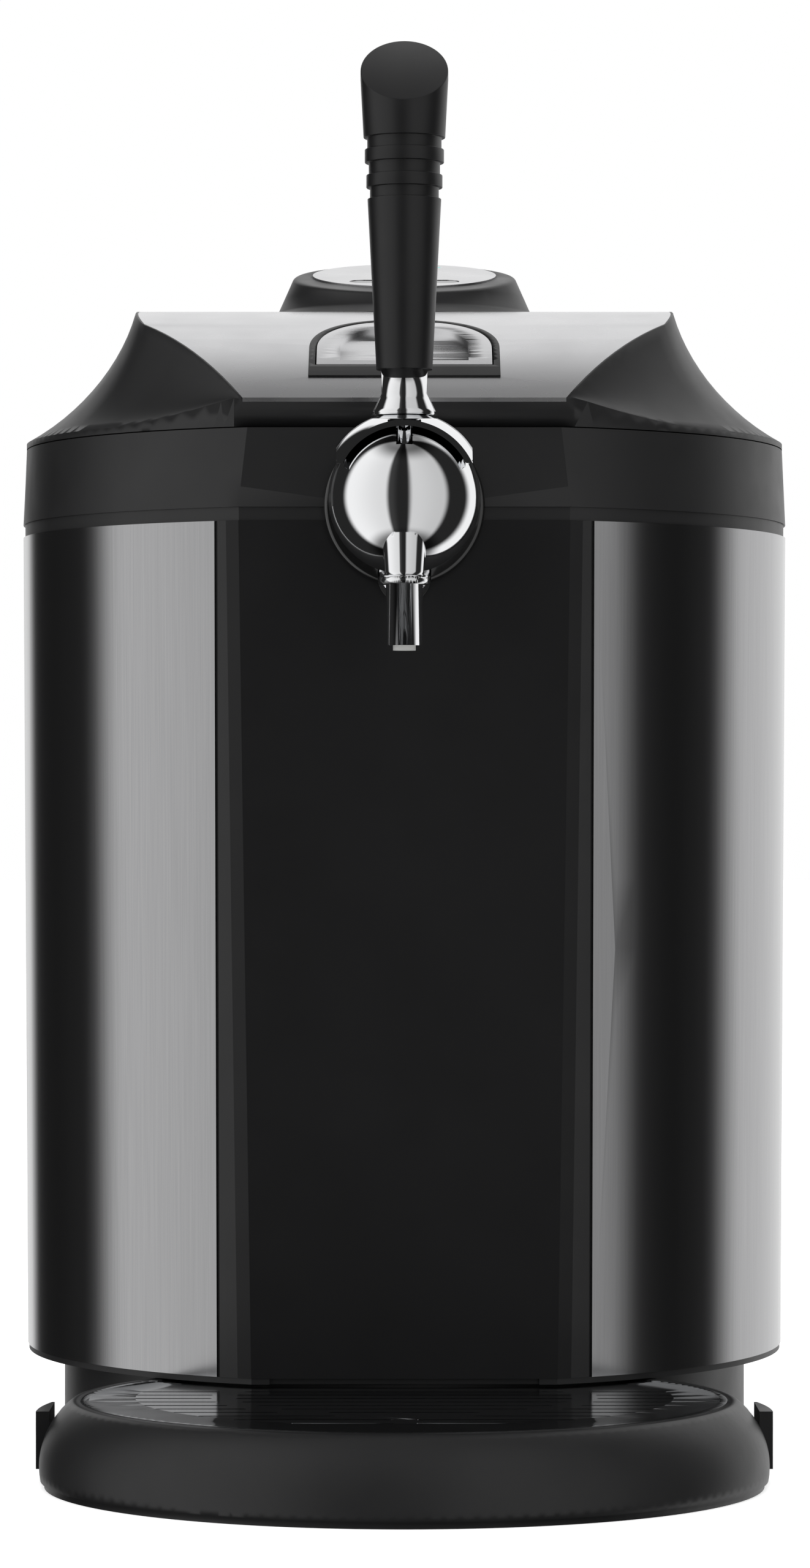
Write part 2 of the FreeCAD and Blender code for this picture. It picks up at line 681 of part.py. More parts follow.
def collar():
    """Upper ring with an inward flange that the lid closes on."""
    outer = collar_form(0.0, BAND_TOP_Z, COLLAR_TOP_Z)
    flange_z = COLLAR_TOP_Z - FLANGE_T
    inner = collar_form(COLLAR_WALL, BAND_TOP_Z, flange_z)
    mouth = disc(FLANGE_R, BAND_TOP_Z, FAR)
    back = HOOK_FRONT - HOOK_T - BUTTON_TRAVEL - 1.0
    gate = block(-SLIDER_HALF - 1.0, SLIDER_HALF + 1.0, back, HOOK_FRONT + HOOK_NOSE + KEEPER_GAP,
                 flange_z - 1.0, FAR)
    return cut_all(outer, [inner, mouth, gate, shank_hole(RUNNING_FIT)])


def latch_keeper():
    """Steel strip under the flange, in front of the hook."""
    flange_z = COLLAR_TOP_Z - FLANGE_T
    front = FRONT_REACH - COLLAR_WALL
    back = HOOK_FRONT + HOOK_NOSE + KEEPER_GAP
    return block(-KEEPER_HALF, KEEPER_HALF, back, front, flange_z - KEEPER_T, flange_z)


def chamber_liner():
    """Deep cup for the keg, with the ledge round its mouth."""
    cup = disc(LINER_OUT_R, CHAMBER_FLOOR_Z - LINER_WALL, DECK_TOP_Z)
    deck_z = DECK_TOP_Z - LINER_WALL
    deck = body_form(SHELL_WALL, deck_z, DECK_TOP_Z, PANEL_T + SHELL_WALL)
    return cup.fuse(deck).cut(disc(LINER_R, CHAMBER_FLOOR_Z, FAR)).removeSplitter()


def insulation_foam():
    """Foam between the liner and the shell."""
    z0 = BODY_FOOT_Z + SHELL_FLOOR_T
    foam = body_form(SHELL_WALL, z0, DECK_TOP_Z - LINER_WALL, PANEL_T + SHELL_WALL)
    well = disc(LINER_OUT_R, CHAMBER_FLOOR_Z - LINER_WALL, FAR)
    pocket = block(-COLD_HALF, COLD_HALF, -FAR, 0.0, COOL_Z - COLD_HALF, COOL_Z + COLD_HALF)
    return cut_all(foam, [well, pocket, cool_window(0.0)])


def chamber_gasket():
    """Soft ring on the flange."""
    return ring(GASKET_R + GASKET_WIDTH, GASKET_R, COLLAR_TOP_Z, COLLAR_TOP_Z + GASKET_T)


# Cooling unit and rear housing

def cold_block():
    """Aluminium block against the liner."""
    solid = block(-COLD_HALF, COLD_HALF, -LINER_OUT_R - COLD_T, 0.0, COOL_Z - COLD_HALF, COOL_Z + COLD_HALF)
    return solid.cut(disc(LINER_OUT_R, 0.0, FAR))


def peltier_module():
    """Thermoelectric plate between the cold block and the heat sink."""
    back = LINER_OUT_R + COLD_T + MODULE_T
    return block(-MODULE_HALF, MODULE_HALF, -back, -back + MODULE_T, COOL_Z - MODULE_HALF, COOL_Z + MODULE_HALF)


def heat_sink():
    """Finned aluminium sink."""
    front = LINER_OUT_R + COLD_T + MODULE_T
    low = COOL_Z - SINK_HALF
    high = COOL_Z + SINK_HALF
    base = block(-SINK_HALF, SINK_HALF, -front - SINK_BASE_T, -front, low, high)
    pitch = (2.0 * SINK_HALF - FIN_T) / (FIN_COUNT - 1)
    fins = []
    for index in range(FIN_COUNT):
        x = -SINK_HALF + pitch * index
        fins.append(block(x, x + FIN_T, -front - SINK_BASE_T - FIN_LENGTH, -front - SINK_BASE_T, low, high))
    return base.fuse(fins).removeSplitter()


def fan_front():
    """Distance behind the axis where the fan's frame starts."""
    return LINER_OUT_R + COLD_T + MODULE_T + SINK_BASE_T + FIN_LENGTH


def fan_frame():
    """Square frame with a spider and the rotor's shaft."""
    front = fan_front()
    back = front + FAN_T
    frame = block(-FAN_HALF, FAN_HALF, -back, -front, COOL_Z - FAN_HALF, COOL_Z + FAN_HALF)
    frame = frame.cut(rod_forward(FAN_BORE_R, -back - 1.0, -front + 1.0, 0.0, COOL_Z))
    spider_front = back - FAN_SPIDER_T
    hub = rod_forward(FAN_HUB_R, -back, -spider_front, 0.0, COOL_Z)
    shaft = rod_forward(FAN_SHAFT_R, -back, -front - FAN_SPIDER_T, 0.0, COOL_Z)
    reach = FAN_BORE_R + 1.0
    across = block(-reach, reach, -back, -spider_front, COOL_Z - 1.5, COOL_Z + 1.5)
    upright = block(-1.5, 1.5, -back, -spider_front, COOL_Z - reach, COOL_Z + reach)
    return frame.fuse([hub, shaft, across, upright]).removeSplitter()


def fan_rotor():
    """Hub with tilted blades on the frame's shaft."""
    front = fan_front() + FAN_GAP
    back = fan_front() + FAN_T - FAN_SPIDER_T - FAN_GAP
    hub = rod_forward(FAN_HUB_R, -back, -front, 0.0, COOL_Z)
    middle = (front + back) / 2.0
    blades = []
    for index in range(FAN_BLADES):
        blade = block(-1.0, 1.0, -middle - 9.0, -middle + 9.0, COOL_Z, COOL_Z + FAN_BORE_R)
        blade.rotate(V(0, middle, COOL_Z), V(0, 0, 1), 42.0)
        blade.rotate(V(0, middle, COOL_Z), V(0, 1, 0), 360.0 * index / FAN_BLADES)
        blades.append(blade)
    sweep = rod_forward(FAN_BORE_R - FAN_BLADE_GAP, -back, -front, 0.0, COOL_Z)
    rotor = hub.fuse(blades).common(sweep)
    return rotor.cut(rod_forward(FAN_SHAFT_R + RUNNING_FIT, -back - 1.0, -front + 1.0, 0.0, COOL_Z))


def rear_housing():
    """Cover over the cooling unit, with vents in both sides."""
    outer = block(-HOUSING_HALF, HOUSING_HALF, -HOUSING_REACH, 0.0, HOUSING_Z0, HOUSING_Z1)
    corners = [edge for edge in outer.Edges if upright_at(edge, HOUSING_REACH)]
    outer = outer.makeFillet(HOUSING_ROUND, corners)
    wall = HOUSING_WALL
    inner = block(-HOUSING_HALF + wall, HOUSING_HALF - wall, -HOUSING_REACH + wall, 1.0,
                  HOUSING_Z0 + wall, HOUSING_Z1 - wall)
    corners = [edge for edge in inner.Edges if upright_at(edge, HOUSING_REACH - wall)]
    inner = inner.makeFillet(HOUSING_ROUND - wall, corners)
    tools = [inner, disc(BODY_R_TOP + RUNNING_FIT, 0.0, FAR)]
    tools.append(block(-GRILLE_HALF, GRILLE_HALF, -FAR, -HOUSING_REACH + 2.0 * wall, GRILLE_Z0, GRILLE_Z1))
    tools.append(block(SOCKET_X - SOCKET_HALF, SOCKET_X + SOCKET_HALF, -FAR, -HOUSING_REACH + 2.0 * wall,
                       SOCKET_Z - SOCKET_RISE, SOCKET_Z + SOCKET_RISE))
    for index in range(SIDE_VENTS):
        z = COOL_Z + SIDE_VENT_PITCH * (index - (SIDE_VENTS - 1) / 2.0)
        back = -fan_front() - 2.0
        tools.append(block(-FAR, FAR, back, back + SIDE_VENT_LENGTH, z - SIDE_VENT_HALF, z + SIDE_VENT_HALF))
    for x, z in screw_places():
        tools.append(rod_forward(SCREW_R, -FAR, -HOUSING_REACH + 2.0 * wall, x, z))
        tools.append(rod_forward(SCREW_HEAD_R, -FAR, -HOUSING_REACH + SCREW_HEAD_T, x, z))
    return cut_all(outer, tools)


def upright_at(edge, reach):
    """Whether an edge is vertical and at a distance behind the axis."""
    box = edge.BoundBox
    return box.ZLength > HOUSING_ROUND and abs(box.YMin - reach) < 0.01 and abs(box.YMax - reach) < 0.01


def screw_places():
    """Centres of the four housing screws."""
    x = HOUSING_HALF - HOUSING_ROUND - 2.0
    return [(x, HOUSING_Z0 + 14.0), (-x, HOUSING_Z0 + 14.0), (x, HOUSING_Z1 - 14.0), (-x, HOUSING_Z1 - 14.0)]


def housing_screws():
    """Screws through the rear wall."""
    screws = []
    for x, z in screw_places():
        shank = rod_forward(SCREW_R, -HOUSING_REACH, -HOUSING_REACH + SCREW_LENGTH, x, z)
        head = rod_forward(SCREW_HEAD_R, -HOUSING_REACH, -HOUSING_REACH + SCREW_HEAD_T, x, z)
        drive = block(x - 0.5, x + 0.5, -HOUSING_REACH, -HOUSING_REACH + 1.0, z - 2.6, z + 2.6)
        screws.append(shank.fuse(head).cut(drive))
    return Part.makeCompound(screws)


def rear_grille():
    """Slotted air outlet in the rear wall."""
    plate = block(-GRILLE_HALF, GRILLE_HALF, -HOUSING_REACH, -HOUSING_REACH + HOUSING_WALL, GRILLE_Z0, GRILLE_Z1)
    pitch = (GRILLE_Z1 - GRILLE_Z0) / GRILLE_BARS
    slots = []
    for index in range(GRILLE_BARS):
        z = GRILLE_Z0 + pitch * (index + 0.5)
        for side in (-1.0, 1.0):
            x0 = min(side * 2.5, side * (GRILLE_HALF - 4.0))
            x1 = max(side * 2.5, side * (GRILLE_HALF - 4.0))
            slots.append(block(x0, x1, -FAR, FAR, z - GRILLE_SLOT / 2.0, z + GRILLE_SLOT / 2.0))
    return cut_all(plate, slots)


def inlet_socket():
    """Recessed two pin mains inlet."""
    back = HOUSING_REACH
    body = block(SOCKET_X - SOCKET_HALF, SOCKET_X + SOCKET_HALF, -back, -back + SOCKET_DEPTH + SOCKET_WALL,
                 SOCKET_Z - SOCKET_RISE, SOCKET_Z + SOCKET_RISE)
    well = block(SOCKET_X - SOCKET_HALF + SOCKET_WALL, SOCKET_X + SOCKET_HALF - SOCKET_WALL,
                 -back - 1.0, -back + SOCKET_DEPTH,
                 SOCKET_Z - SOCKET_RISE + SOCKET_WALL, SOCKET_Z + SOCKET_RISE - SOCKET_WALL)
    pins = [rod_forward(1.5, -back + 4.0, -back + SOCKET_DEPTH + 0.5, SOCKET_X + side, SOCKET_Z) for side in (-4.4, 4.4)]
    return body.cut(well).fuse(pins).removeSplitter()


def power_board():
    """Circuit board under the cooling unit, behind the body."""
    back = HOUSING_REACH - HOUSING_WALL - 5.0
    face = back - BOARD_T
    board = block(-BOARD_HALF - 22.0, SOCKET_X - SOCKET_HALF - 2.0, -back, -face, BOARD_Z0, BOARD_Z1)
    coil = block(-40.0, -14.0, -face, -face + 14.0, 70.0, 96.0)
    can = rod_forward(8.0, -face, -face + 14.0, 8.0, 84.0)
    post = [rod_forward(2.5, -back - 5.0, -back, x, z) for x in (-52.0, 20.0) for z in (BOARD_Z0 + 5.0, BOARD_Z1 - 5.0)]
    return board.fuse([coil, can] + post).removeSplitter()


# Lid

def ridge_x(forward):
    """Half width of the silver plate at a distance ahead of the axis."""
    if forward >= RIDGE_TURN:
        share = (LID_FRONT - forward) / (LID_FRONT - RIDGE_TURN)
        return RIDGE_FRONT_X + share * (RIDGE_TURN_X - RIDGE_FRONT_X)
    if forward <= RIDGE_STRAIGHT:
        return RIDGE_X
    share = (RIDGE_TURN - forward) / (RIDGE_TURN - RIDGE_STRAIGHT)
    return RIDGE_TURN_X + (RIDGE_X - RIDGE_TURN_X) * share * (2.0 - share)


def crown_z(forward):
    """Height of the plate at a distance ahead of the axis."""
    if forward <= BARREL_FORWARD:
        return LID_TOP_Z
    return BARREL_Z + math.sqrt(BARREL_R ** 2 - (forward - BARREL_FORWARD) ** 2)


def cove_z(forward):
    """Height of the lower edge of the hollow sides."""
    if forward <= COVE_RISE_FROM:
        return COVE_FOOT_Z
    share = (forward - COVE_RISE_FROM) / (LID_FRONT - COVE_RISE_FROM)
    return COVE_FOOT_Z + COVE_RISE * share ** COVE_RISE_POWER


def lid_section(forward, inset, foot_z):
    """Cross-section of the lid at a distance ahead of the axis."""
    y = -forward
    half = ridge_x(forward) - inset
    top = crown_z(forward) - inset
    rim = math.sqrt((LID_R - inset) ** 2 - forward ** 2)
    low = cove_z(forward) - inset
    rim_x = max(rim, half + 0.6)
    length = math.hypot(rim_x - half, top - low)
    sag = COVE_SAG * length
    mid_x = (half + rim_x) / 2.0 - sag * (top - low) / length
    mid_z = (top + low) / 2.0 - sag * (rim_x - half) / length
    out_x = rim_x + 3.0
    left = [V(-half, y, top), V(-mid_x, y, mid_z), V(-rim_x, y, low), V(-out_x, y, low), V(-out_x, y, foot_z)]
    right = [V(-point.x, point.y, point.z) for point in left]
    edges = [
        Part.LineSegment(left[0], right[0]).toShape(),
        Part.Arc(right[0], right[1], right[2]).toShape(),
        Part.LineSegment(right[2], right[3]).toShape(),
        Part.LineSegment(right[3], right[4]).toShape(),
        Part.LineSegment(right[4], left[4]).toShape(),
        Part.LineSegment(left[4], left[3]).toShape(),
        Part.LineSegment(left[3], left[2]).toShape(),
        Part.Arc(left[2], left[1], left[0]).toShape(),
    ]
    return Part.Wire(edges)


def lid_form(inset, foot_z):
    """Outer form of the lid, set in by a distance."""
    reach = LID_FRONT - inset
    wires = [lid_section(reach * (1.0 - step / LID_STATIONS), inset, foot_z) for step in range(LID_STATIONS + 1)]
    front = Part.makeLoft(wires, True, True)
    last = wires[-1]
    rear = Part.Face(last).extrude(V(0, LID_REAR - inset, 0))
    form = front.fuse(rear)
    radius = LID_R - inset
    form = form.common(disc(radius, foot_z, FAR + 100.0))
    depth = LID_REAR_ROUND - inset
    back_y = LID_REAR - inset
    top = LID_TOP_Z - inset
    bend = math.sqrt(0.5)
    edges = [
        Part.LineSegment(V(-FAR, -FAR, foot_z), V(-FAR, -FAR, top + 1.0)).toShape(),
        Part.LineSegment(V(-FAR, -FAR, top + 1.0), V(-FAR, 0, top + 1.0)).toShape(),
        Part.LineSegment(V(-FAR, 0, top + 1.0), V(-FAR, 0, top)).toShape(),
        Part.LineSegment(V(-FAR, 0, top), V(-FAR, back_y - depth, top)).toShape(),
        Part.Arc(V(-FAR, back_y - depth, top),
                 V(-FAR, back_y - depth + depth * bend, top - depth + depth * bend),
                 V(-FAR, back_y, top - depth)).toShape(),
        Part.LineSegment(V(-FAR, back_y, top - depth), V(-FAR, back_y, foot_z)).toShape(),
        Part.LineSegment(V(-FAR, back_y, foot_z), V(-FAR, -FAR, foot_z)).toShape(),
    ]
    side = Part.Face(Part.Wire(edges)).extrude(V(2.0 * FAR, 0, 0))
    return form.common(side)


def plate_region():
    """Plan area of the silver plate, as an upright prism."""
    inset = SKIN_BORDER
    right = [
        V(ridge_x(LID_FRONT) - inset, -LID_FRONT - 5.0, 0),
        V(ridge_x(LID_FRONT) - inset, -LID_FRONT, 0),
        V(RIDGE_TURN_X - inset, -RIDGE_TURN, 0),
    ]
    knee = (RIDGE_TURN + RIDGE_STRAIGHT) / 2.0
    arc_end = V(RIDGE_X - inset, -RIDGE_STRAIGHT, 0)
    arc_mid = V(ridge_x(knee) - inset, -knee, 0)
    rear = V(RIDGE_X - inset, LID_REAR + 5.0, 0)

    def flip(point):
        return V(-point.x, point.y, point.z)

    edges = [
        Part.LineSegment(right[0], right[1]).toShape(),
        Part.LineSegment(right[1], right[2]).toShape(),
        Part.Arc(right[2], arc_mid, arc_end).toShape(),
        Part.LineSegment(arc_end, rear).toShape(),
        Part.LineSegment(rear, flip(rear)).toShape(),
        Part.LineSegment(flip(rear), flip(arc_end)).toShape(),
        Part.Arc(flip(arc_end), flip(arc_mid), flip(right[2])).toShape(),
        Part.LineSegment(flip(right[2]), flip(right[1])).toShape(),
        Part.LineSegment(flip(right[1]), flip(right[0])).toShape(),
        Part.LineSegment(flip(right[0]), right[0]).toShape(),
    ]
    return Part.Face(Part.Wire(edges)).extrude(V(0, 0, FAR + 100.0))


def plate_skin(form):
    """The thin top layer of the lid that the silver plate takes."""
    lowered = form.copy()
    lowered.translate(V(0, 0, -SKIN_T))
    skin = form.cut(lowered)
    edge_z = LID_FOOT_Z + SKIN_T
    skin = skin.common(plate_region())
    skin = skin.cut(block(-FAR, FAR, -FAR, FAR, 0.0, edge_z))
    return skin.cut(ring(FAR, LID_R - SKIN_BORDER, 0.0, FAR + 100.0))


def on_barrel(shape):
    """Move a shape drawn flat at the origin to the button's place on the plate."""
    turn = math.radians(BUTTON_DEG)
    placed = shape.copy()
    placed.rotate(V(0, 0, 0), V(1, 0, 0), BUTTON_DEG)
    forward = BARREL_FORWARD + BARREL_R * math.sin(turn)
    placed.translate(V(0, -forward, BARREL_Z + BARREL_R * math.cos(turn)))
    return placed


def d_prism(half, straight, low, high):
    """D outline, round towards the top of the lid, as a prism square to the plate."""
    edges = [
        Part.LineSegment(V(-half, -straight, low), V(half, -straight, low)).toShape(),
        Part.LineSegment(V(half, -straight, low), V(half, 0, low)).toShape(),
        Part.Arc(V(half, 0, low), V(0, half, low), V(-half, 0, low)).toShape(),
        Part.LineSegment(V(-half, 0, low), V(-half, -straight, low)).toShape(),
    ]
    return on_barrel(Part.Face(Part.Wire(edges)).extrude(V(0, 0, high - low)))


def barrel(offset):
    """Cylinder of the plate's curve, grown by an offset."""
    return rod_across(BARREL_R + offset, -FAR / 2.0, FAR / 2.0, BARREL_FORWARD, BARREL_Z)


def button_rod(radius, low, high):
    """Round rod on the button's axis."""
    return on_barrel(Part.makeCylinder(radius, high - low, V(0, 0, low)))


def release_bezel():
    """Dark well that holds the release button."""
    floor = -BEZEL_FLOOR - BEZEL_FLOOR_T
    outer = d_prism(BEZEL_HALF, BEZEL_STRAIGHT, floor, BEZEL_FLOOR).common(barrel(BEZEL_PROUD))
    inner = d_prism(BUTTON_HALF + BUTTON_GAP, BUTTON_STRAIGHT + BUTTON_GAP, -BEZEL_FLOOR, FAR / 10.0)
    return cut_all(outer, [inner, button_rod(BUTTON_STEM_R + RUNNING_FIT, floor - 1.0, 0.0)])


def release_button():
    """D-shaped button with a shallow dish and a stem."""
    cap = d_prism(BUTTON_HALF, BUTTON_STRAIGHT, -BUTTON_T - 2.0, BEZEL_FLOOR)
    cap = cap.common(barrel(BUTTON_PROUD)).cut(barrel(-BUTTON_T))
    dish = d_prism(DISH_FLOOR_HALF, BUTTON_STRAIGHT - DISH_INSET, -BUTTON_T, BEZEL_FLOOR)
    cap = cap.cut(dish.cut(barrel(BUTTON_PROUD - DISH_DEPTH)))
    stem = button_rod(BUTTON_STEM_R, -BUTTON_STEM_END, -BUTTON_T + 1.0)
    return cap.fuse(stem)


def arc_between(start, corner, end):
    """Arc tangent to the two equal sides of a corner."""
    middle = (start + end) * 0.5
    half = start.distanceToPoint(end) / 2.0
    rise = middle.distanceToPoint(corner)
    turn = math.atan2(rise, half)
    sagitta = half / math.sin(turn) * (1.0 - math.cos(turn))
    return Part.Arc(start, middle + (corner - middle) * (sagitta / rise), end).toShape()


def coil(radius, wire, turns, low, high):
    """Helical spring about the button's axis, as one tube of two tangent arcs to a quarter turn."""
    steps = 4 * turns
    rise = (high - low) / steps
    slope = rise / (math.pi / 2.0)

    def point(quarter):
        turn = math.radians(90.0 * quarter)
        return V(radius * math.cos(turn), radius * math.sin(turn), low + rise * quarter)

    def heading(quarter):
        turn = math.radians(90.0 * quarter)
        return V(-radius * math.sin(turn), radius * math.cos(turn), slope).normalize()

    edges = []
    for step in range(steps):
        start, end = point(step), point(step + 1)
        first, last = heading(step), heading(step + 1)
        chord = end - start
        both = first + last
        quad = both.dot(both) - 4.0
        reach = (chord.dot(both) - math.sqrt(chord.dot(both) ** 2 - quad * chord.dot(chord))) / quad
        corner, next_corner = start + first * reach, end - last * reach
        joint = (corner + next_corner) * 0.5
        edges.extend([arc_between(start, corner, joint), arc_between(joint, next_corner, end)])
    profile = Part.Wire([Part.Circle(point(0), heading(0), wire).toShape()])
    return on_barrel(Part.Wire(edges).makePipeShell([profile], True, False))


def button_spring():
    """Return spring between the well's floor and the button."""
    low = -BEZEL_FLOOR + SPRING_WIRE + 0.1
    high = -BUTTON_T - SPRING_WIRE - 0.4
    return coil(SPRING_R, SPRING_WIRE, SPRING_TURNS, low, high)


def latch_hook():
    """Slider with a ramp behind the button's stem and a hook at its front."""
    z0 = INNER_PANEL_Z + INNER_PANEL_T + SEAT_GAP
    z1 = z0 + SLIDER_T
    slider = block(-SLIDER_HALF, SLIDER_HALF, SLIDER_BACK_END, HOOK_FRONT, z0, z1)
    drop = block(-SLIDER_HALF + 1.0, SLIDER_HALF - 1.0, HOOK_FRONT - HOOK_T, HOOK_FRONT, HOOK_FOOT_Z, z1)
    nose = block(-SLIDER_HALF + 1.0, SLIDER_HALF - 1.0, HOOK_FRONT - HOOK_T, HOOK_FRONT + HOOK_NOSE,
                 HOOK_FOOT_Z, HOOK_FOOT_Z + HOOK_NOSE_T)
    turn = math.radians(BUTTON_DEG)
    centre_f = BARREL_FORWARD + BARREL_R * math.sin(turn)
    centre_z = BARREL_Z + BARREL_R * math.cos(turn)
    corner_f = centre_f - BUTTON_STEM_END * math.sin(turn) - BUTTON_STEM_R * math.cos(turn) - SEAT_GAP
    corner_z = centre_z - BUTTON_STEM_END * math.cos(turn) + BUTTON_STEM_R * math.sin(turn)
    slope = (1.0 - math.sin(turn)) / math.cos(turn)
    ramp = prism([(corner_f, corner_z), (corner_f + slope * (corner_z - z1), z1),
                  (SLIDER_BACK_END, z1), (SLIDER_BACK_END, corner_z)], SLIDER_HALF)
    return slider.fuse([drop, nose, ramp]).removeSplitter()


def lid_shell(form, skin):
    """Dark moulded lid with hollow sides."""
    hollow = lid_form(LID_WALL, HOLLOW_FOOT_Z)
    well = d_prism(BEZEL_HALF, BEZEL_STRAIGHT, -BEZEL_FLOOR - BEZEL_FLOOR_T, FAR / 10.0)
    shell = form.cut(hollow)
    return cut_all(shell, [skin, well])


def lid_plate(skin):
    """Silver plate that lies in the lid's top."""
    well = d_prism(BEZEL_HALF, BEZEL_STRAIGHT, -BEZEL_FLOOR - BEZEL_FLOOR_T, FAR / 10.0)
    solids = sorted(skin.cut(well).Solids, key=lambda solid: solid.Volume)
    return solids[-1]


def lid_inner_panel():
    """Inner cover of the lid with the ring that plugs the mouth."""
    z0 = INNER_PANEL_Z
    panel = disc(INNER_PANEL_R, z0, z0 + INNER_PANEL_T)
    panel = panel.common(block(-FAR, FAR, -LID_REAR + LID_WALL + SEAT_GAP, FAR, z0, FAR))
    plug = ring(PLUG_R, PLUG_R - PLUG_WALL, z0 - PLUG_DEPTH, z0)
    back = HOOK_FRONT - HOOK_T - BUTTON_TRAVEL - 1.0
    gate = block(-SLIDER_HALF - 1.0, SLIDER_HALF + 1.0, back, HOOK_FRONT + HOOK_NOSE + 1.0, z0 - 1.0, FAR)
    posts = [disc(LID_POST_R, z0 + INNER_PANEL_T, LID_TOP_Z, x, -LID_POST_BACK) for x in (-LID_POST_X, LID_POST_X)]
    hollow = lid_form(LID_WALL, HOLLOW_FOOT_Z)
    posts = [post.common(hollow) for post in posts]
    return panel.fuse([plug] + posts).cut(gate)


def lid_foam():
    """Foam pad on the inner cover."""
    z0 = INNER_PANEL_Z + INNER_PANEL_T
    foam = disc(LID_FOAM_R, z0, z0 + LID_FOAM_T).common(block(-FAR, FAR, -FAR, LID_FOAM_FRONT, 0.0, FAR))
    posts = [disc(LID_POST_R + 0.5, 0.0, FAR, x, -LID_POST_BACK) for x in (-LID_POST_X, LID_POST_X)]
    return cut_all(foam, posts)


def lid_hinge_arms():
    """Arms from the lid's rear wall to the hinge."""
    low = COLLAR_TOP_Z + 2.0 * LID_GAP
    x0 = HINGE_X - HINGE_ARM_HALF
    x1 = HINGE_X + HINGE_ARM_HALF
    back = HINGE_BACK + HINGE_KNUCKLE_R
    arm = block(x0, x1, -back, -LID_REAR, low, low + 8.0)
    web = block(x0, x1, -back, -HINGE_BACK + HINGE_KNUCKLE_R, HINGE_Z, low + 8.0)
    knuckle = rod_across(HINGE_KNUCKLE_R, x0, x1, -HINGE_BACK, HINGE_Z)
    arm = arm.fuse([web, knuckle]).removeSplitter()
    arm = arm.cut(rod_across(HINGE_PIN_R + RUNNING_FIT, x0 - 1.0, x1 + 1.0, -HINGE_BACK, HINGE_Z))
    return both_sides(arm)


def hinge_bracket():
    """Lugs behind the collar that hold the hinge pins."""
    gap = HINGE_ARM_HALF + HINGE_SIDE_GAP
    outer = gap + HINGE_LUG_T
    wall_back = HINGE_BACK - HINGE_KNUCKLE_R - 0.8
    low = HINGE_Z - 2.0 * HINGE_KNUCKLE_R
    pad = block(HINGE_X - outer, HINGE_X + outer, -wall_back, -wall_back + 15.0, low, HINGE_Z + 4.0)
    lugs = []
    for x in (HINGE_X - outer, HINGE_X + gap):
        plate = block(x, x + HINGE_LUG_T, -HINGE_BACK, -wall_back + 15.0, low, HINGE_Z + 4.0)
        eye = rod_across(HINGE_KNUCKLE_R, x, x + HINGE_LUG_T, -HINGE_BACK, HINGE_Z)
        lugs.extend([plate, eye])
    bracket = pad.fuse(lugs).removeSplitter()
    bracket = bracket.cut(rod_across(HINGE_PIN_R, HINGE_X - FAR, HINGE_X + FAR, -HINGE_BACK, HINGE_Z))
    collar_solid = collar_form(0.0, BAND_TOP_Z, COLLAR_TOP_Z)
    return both_sides(bracket.cut(collar_solid))


def hinge_pins():
    """Steel pins of the lid's hinge."""
    outer = HINGE_ARM_HALF + HINGE_SIDE_GAP + HINGE_LUG_T
    return both_sides(rod_across(HINGE_PIN_R, HINGE_X - outer, HINGE_X + outer, -HINGE_BACK, HINGE_Z))


# Control pad

def tilted(shape):
    """Tip a shape drawn level about the pad's centre, so that it faces the user."""
    placed = shape.copy()
    placed.rotate(V(0, DIAL_BACK, DIAL_TOP_Z), V(1, 0, 0), DIAL_TILT_DEG)
    return placed


def dial_disc(radius, z0, z1):
    """Cylinder square to the sloping face, with heights counted from the face."""
    return tilted(disc(radius, DIAL_TOP_Z + z0, DIAL_TOP_Z + z1, 0.0, -DIAL_BACK))


def dial_part(radius, z0, z1, x, forward):
    """Small cylinder on the sloping face."""
    return tilted(disc(radius, DIAL_TOP_Z + z0, DIAL_TOP_Z + z1, x, forward - DIAL_BACK))


def dial_window(grow, z0, z1):
    """Rounded bar of the display."""
    radius = WINDOW_R + grow
    reach = WINDOW_HALF - WINDOW_R
    forward = WINDOW_FORWARD - DIAL_BACK
    bar = block(-reach, reach, forward - radius, forward + radius, DIAL_TOP_Z + z0, DIAL_TOP_Z + z1)
    bar = bar.fuse([disc(radius, DIAL_TOP_Z + z0, DIAL_TOP_Z + z1, side * reach, forward) for side in (-1.0, 1.0)])
    return tilted(bar)


def control_pad():
    """Round mound on the lid with a flared foot and a sloping top."""
    foot = LID_TOP_Z
    waist = foot + DIAL_SKIRT_H
    slope = (DIAL_WAIST_R - DIAL_TOP_R) / (DIAL_WAIST_RISE - DIAL_SKIRT_H)
    height = DIAL_SKIRT_H + DIAL_TALL
    corners = [V(0, 0, foot), V(DIAL_FOOT_R, 0, foot), V(DIAL_WAIST_R, 0, waist),
               V(DIAL_WAIST_R - slope * DIAL_TALL, 0, foot + height), V(0, 0, foot + height)]
    mound = Part.Face(Part.makePolygon(corners + corners[:1])).revolve(V(0, 0, 0), V(0, 0, 1), 360.0)
    mound.translate(V(0, DIAL_BACK, 0))
    slice_off = tilted(disc(FAR / 2.0, DIAL_TOP_Z, DIAL_TOP_Z + 100.0, 0.0, -DIAL_BACK))
    mound = mound.cut(slice_off)
    rim = [edge for edge in mound.Edges if edge.BoundBox.ZMax > DIAL_TOP_Z + 5.0]
    mound = mound.makeFillet(DIAL_ROUND, rim)
    seat = dial_disc(DISC_R, -DISC_T, 1.0)
    room = disc(DIAL_TOP_R - 6.0, foot - 1.0, foot + 4.0, 0.0, -DIAL_BACK)
    return cut_all(mound, [seat, room])


def control_disc():
    """Silver face of the pad."""
    face = dial_disc(DISC_R, -DISC_T, DISC_PROUD)
    return cut_all(face, [dial_window(0.0, -5.0, 5.0), dial_part(LAMP_R, -5.0, 5.0, LAMP_X, -LAMP_BACK)])


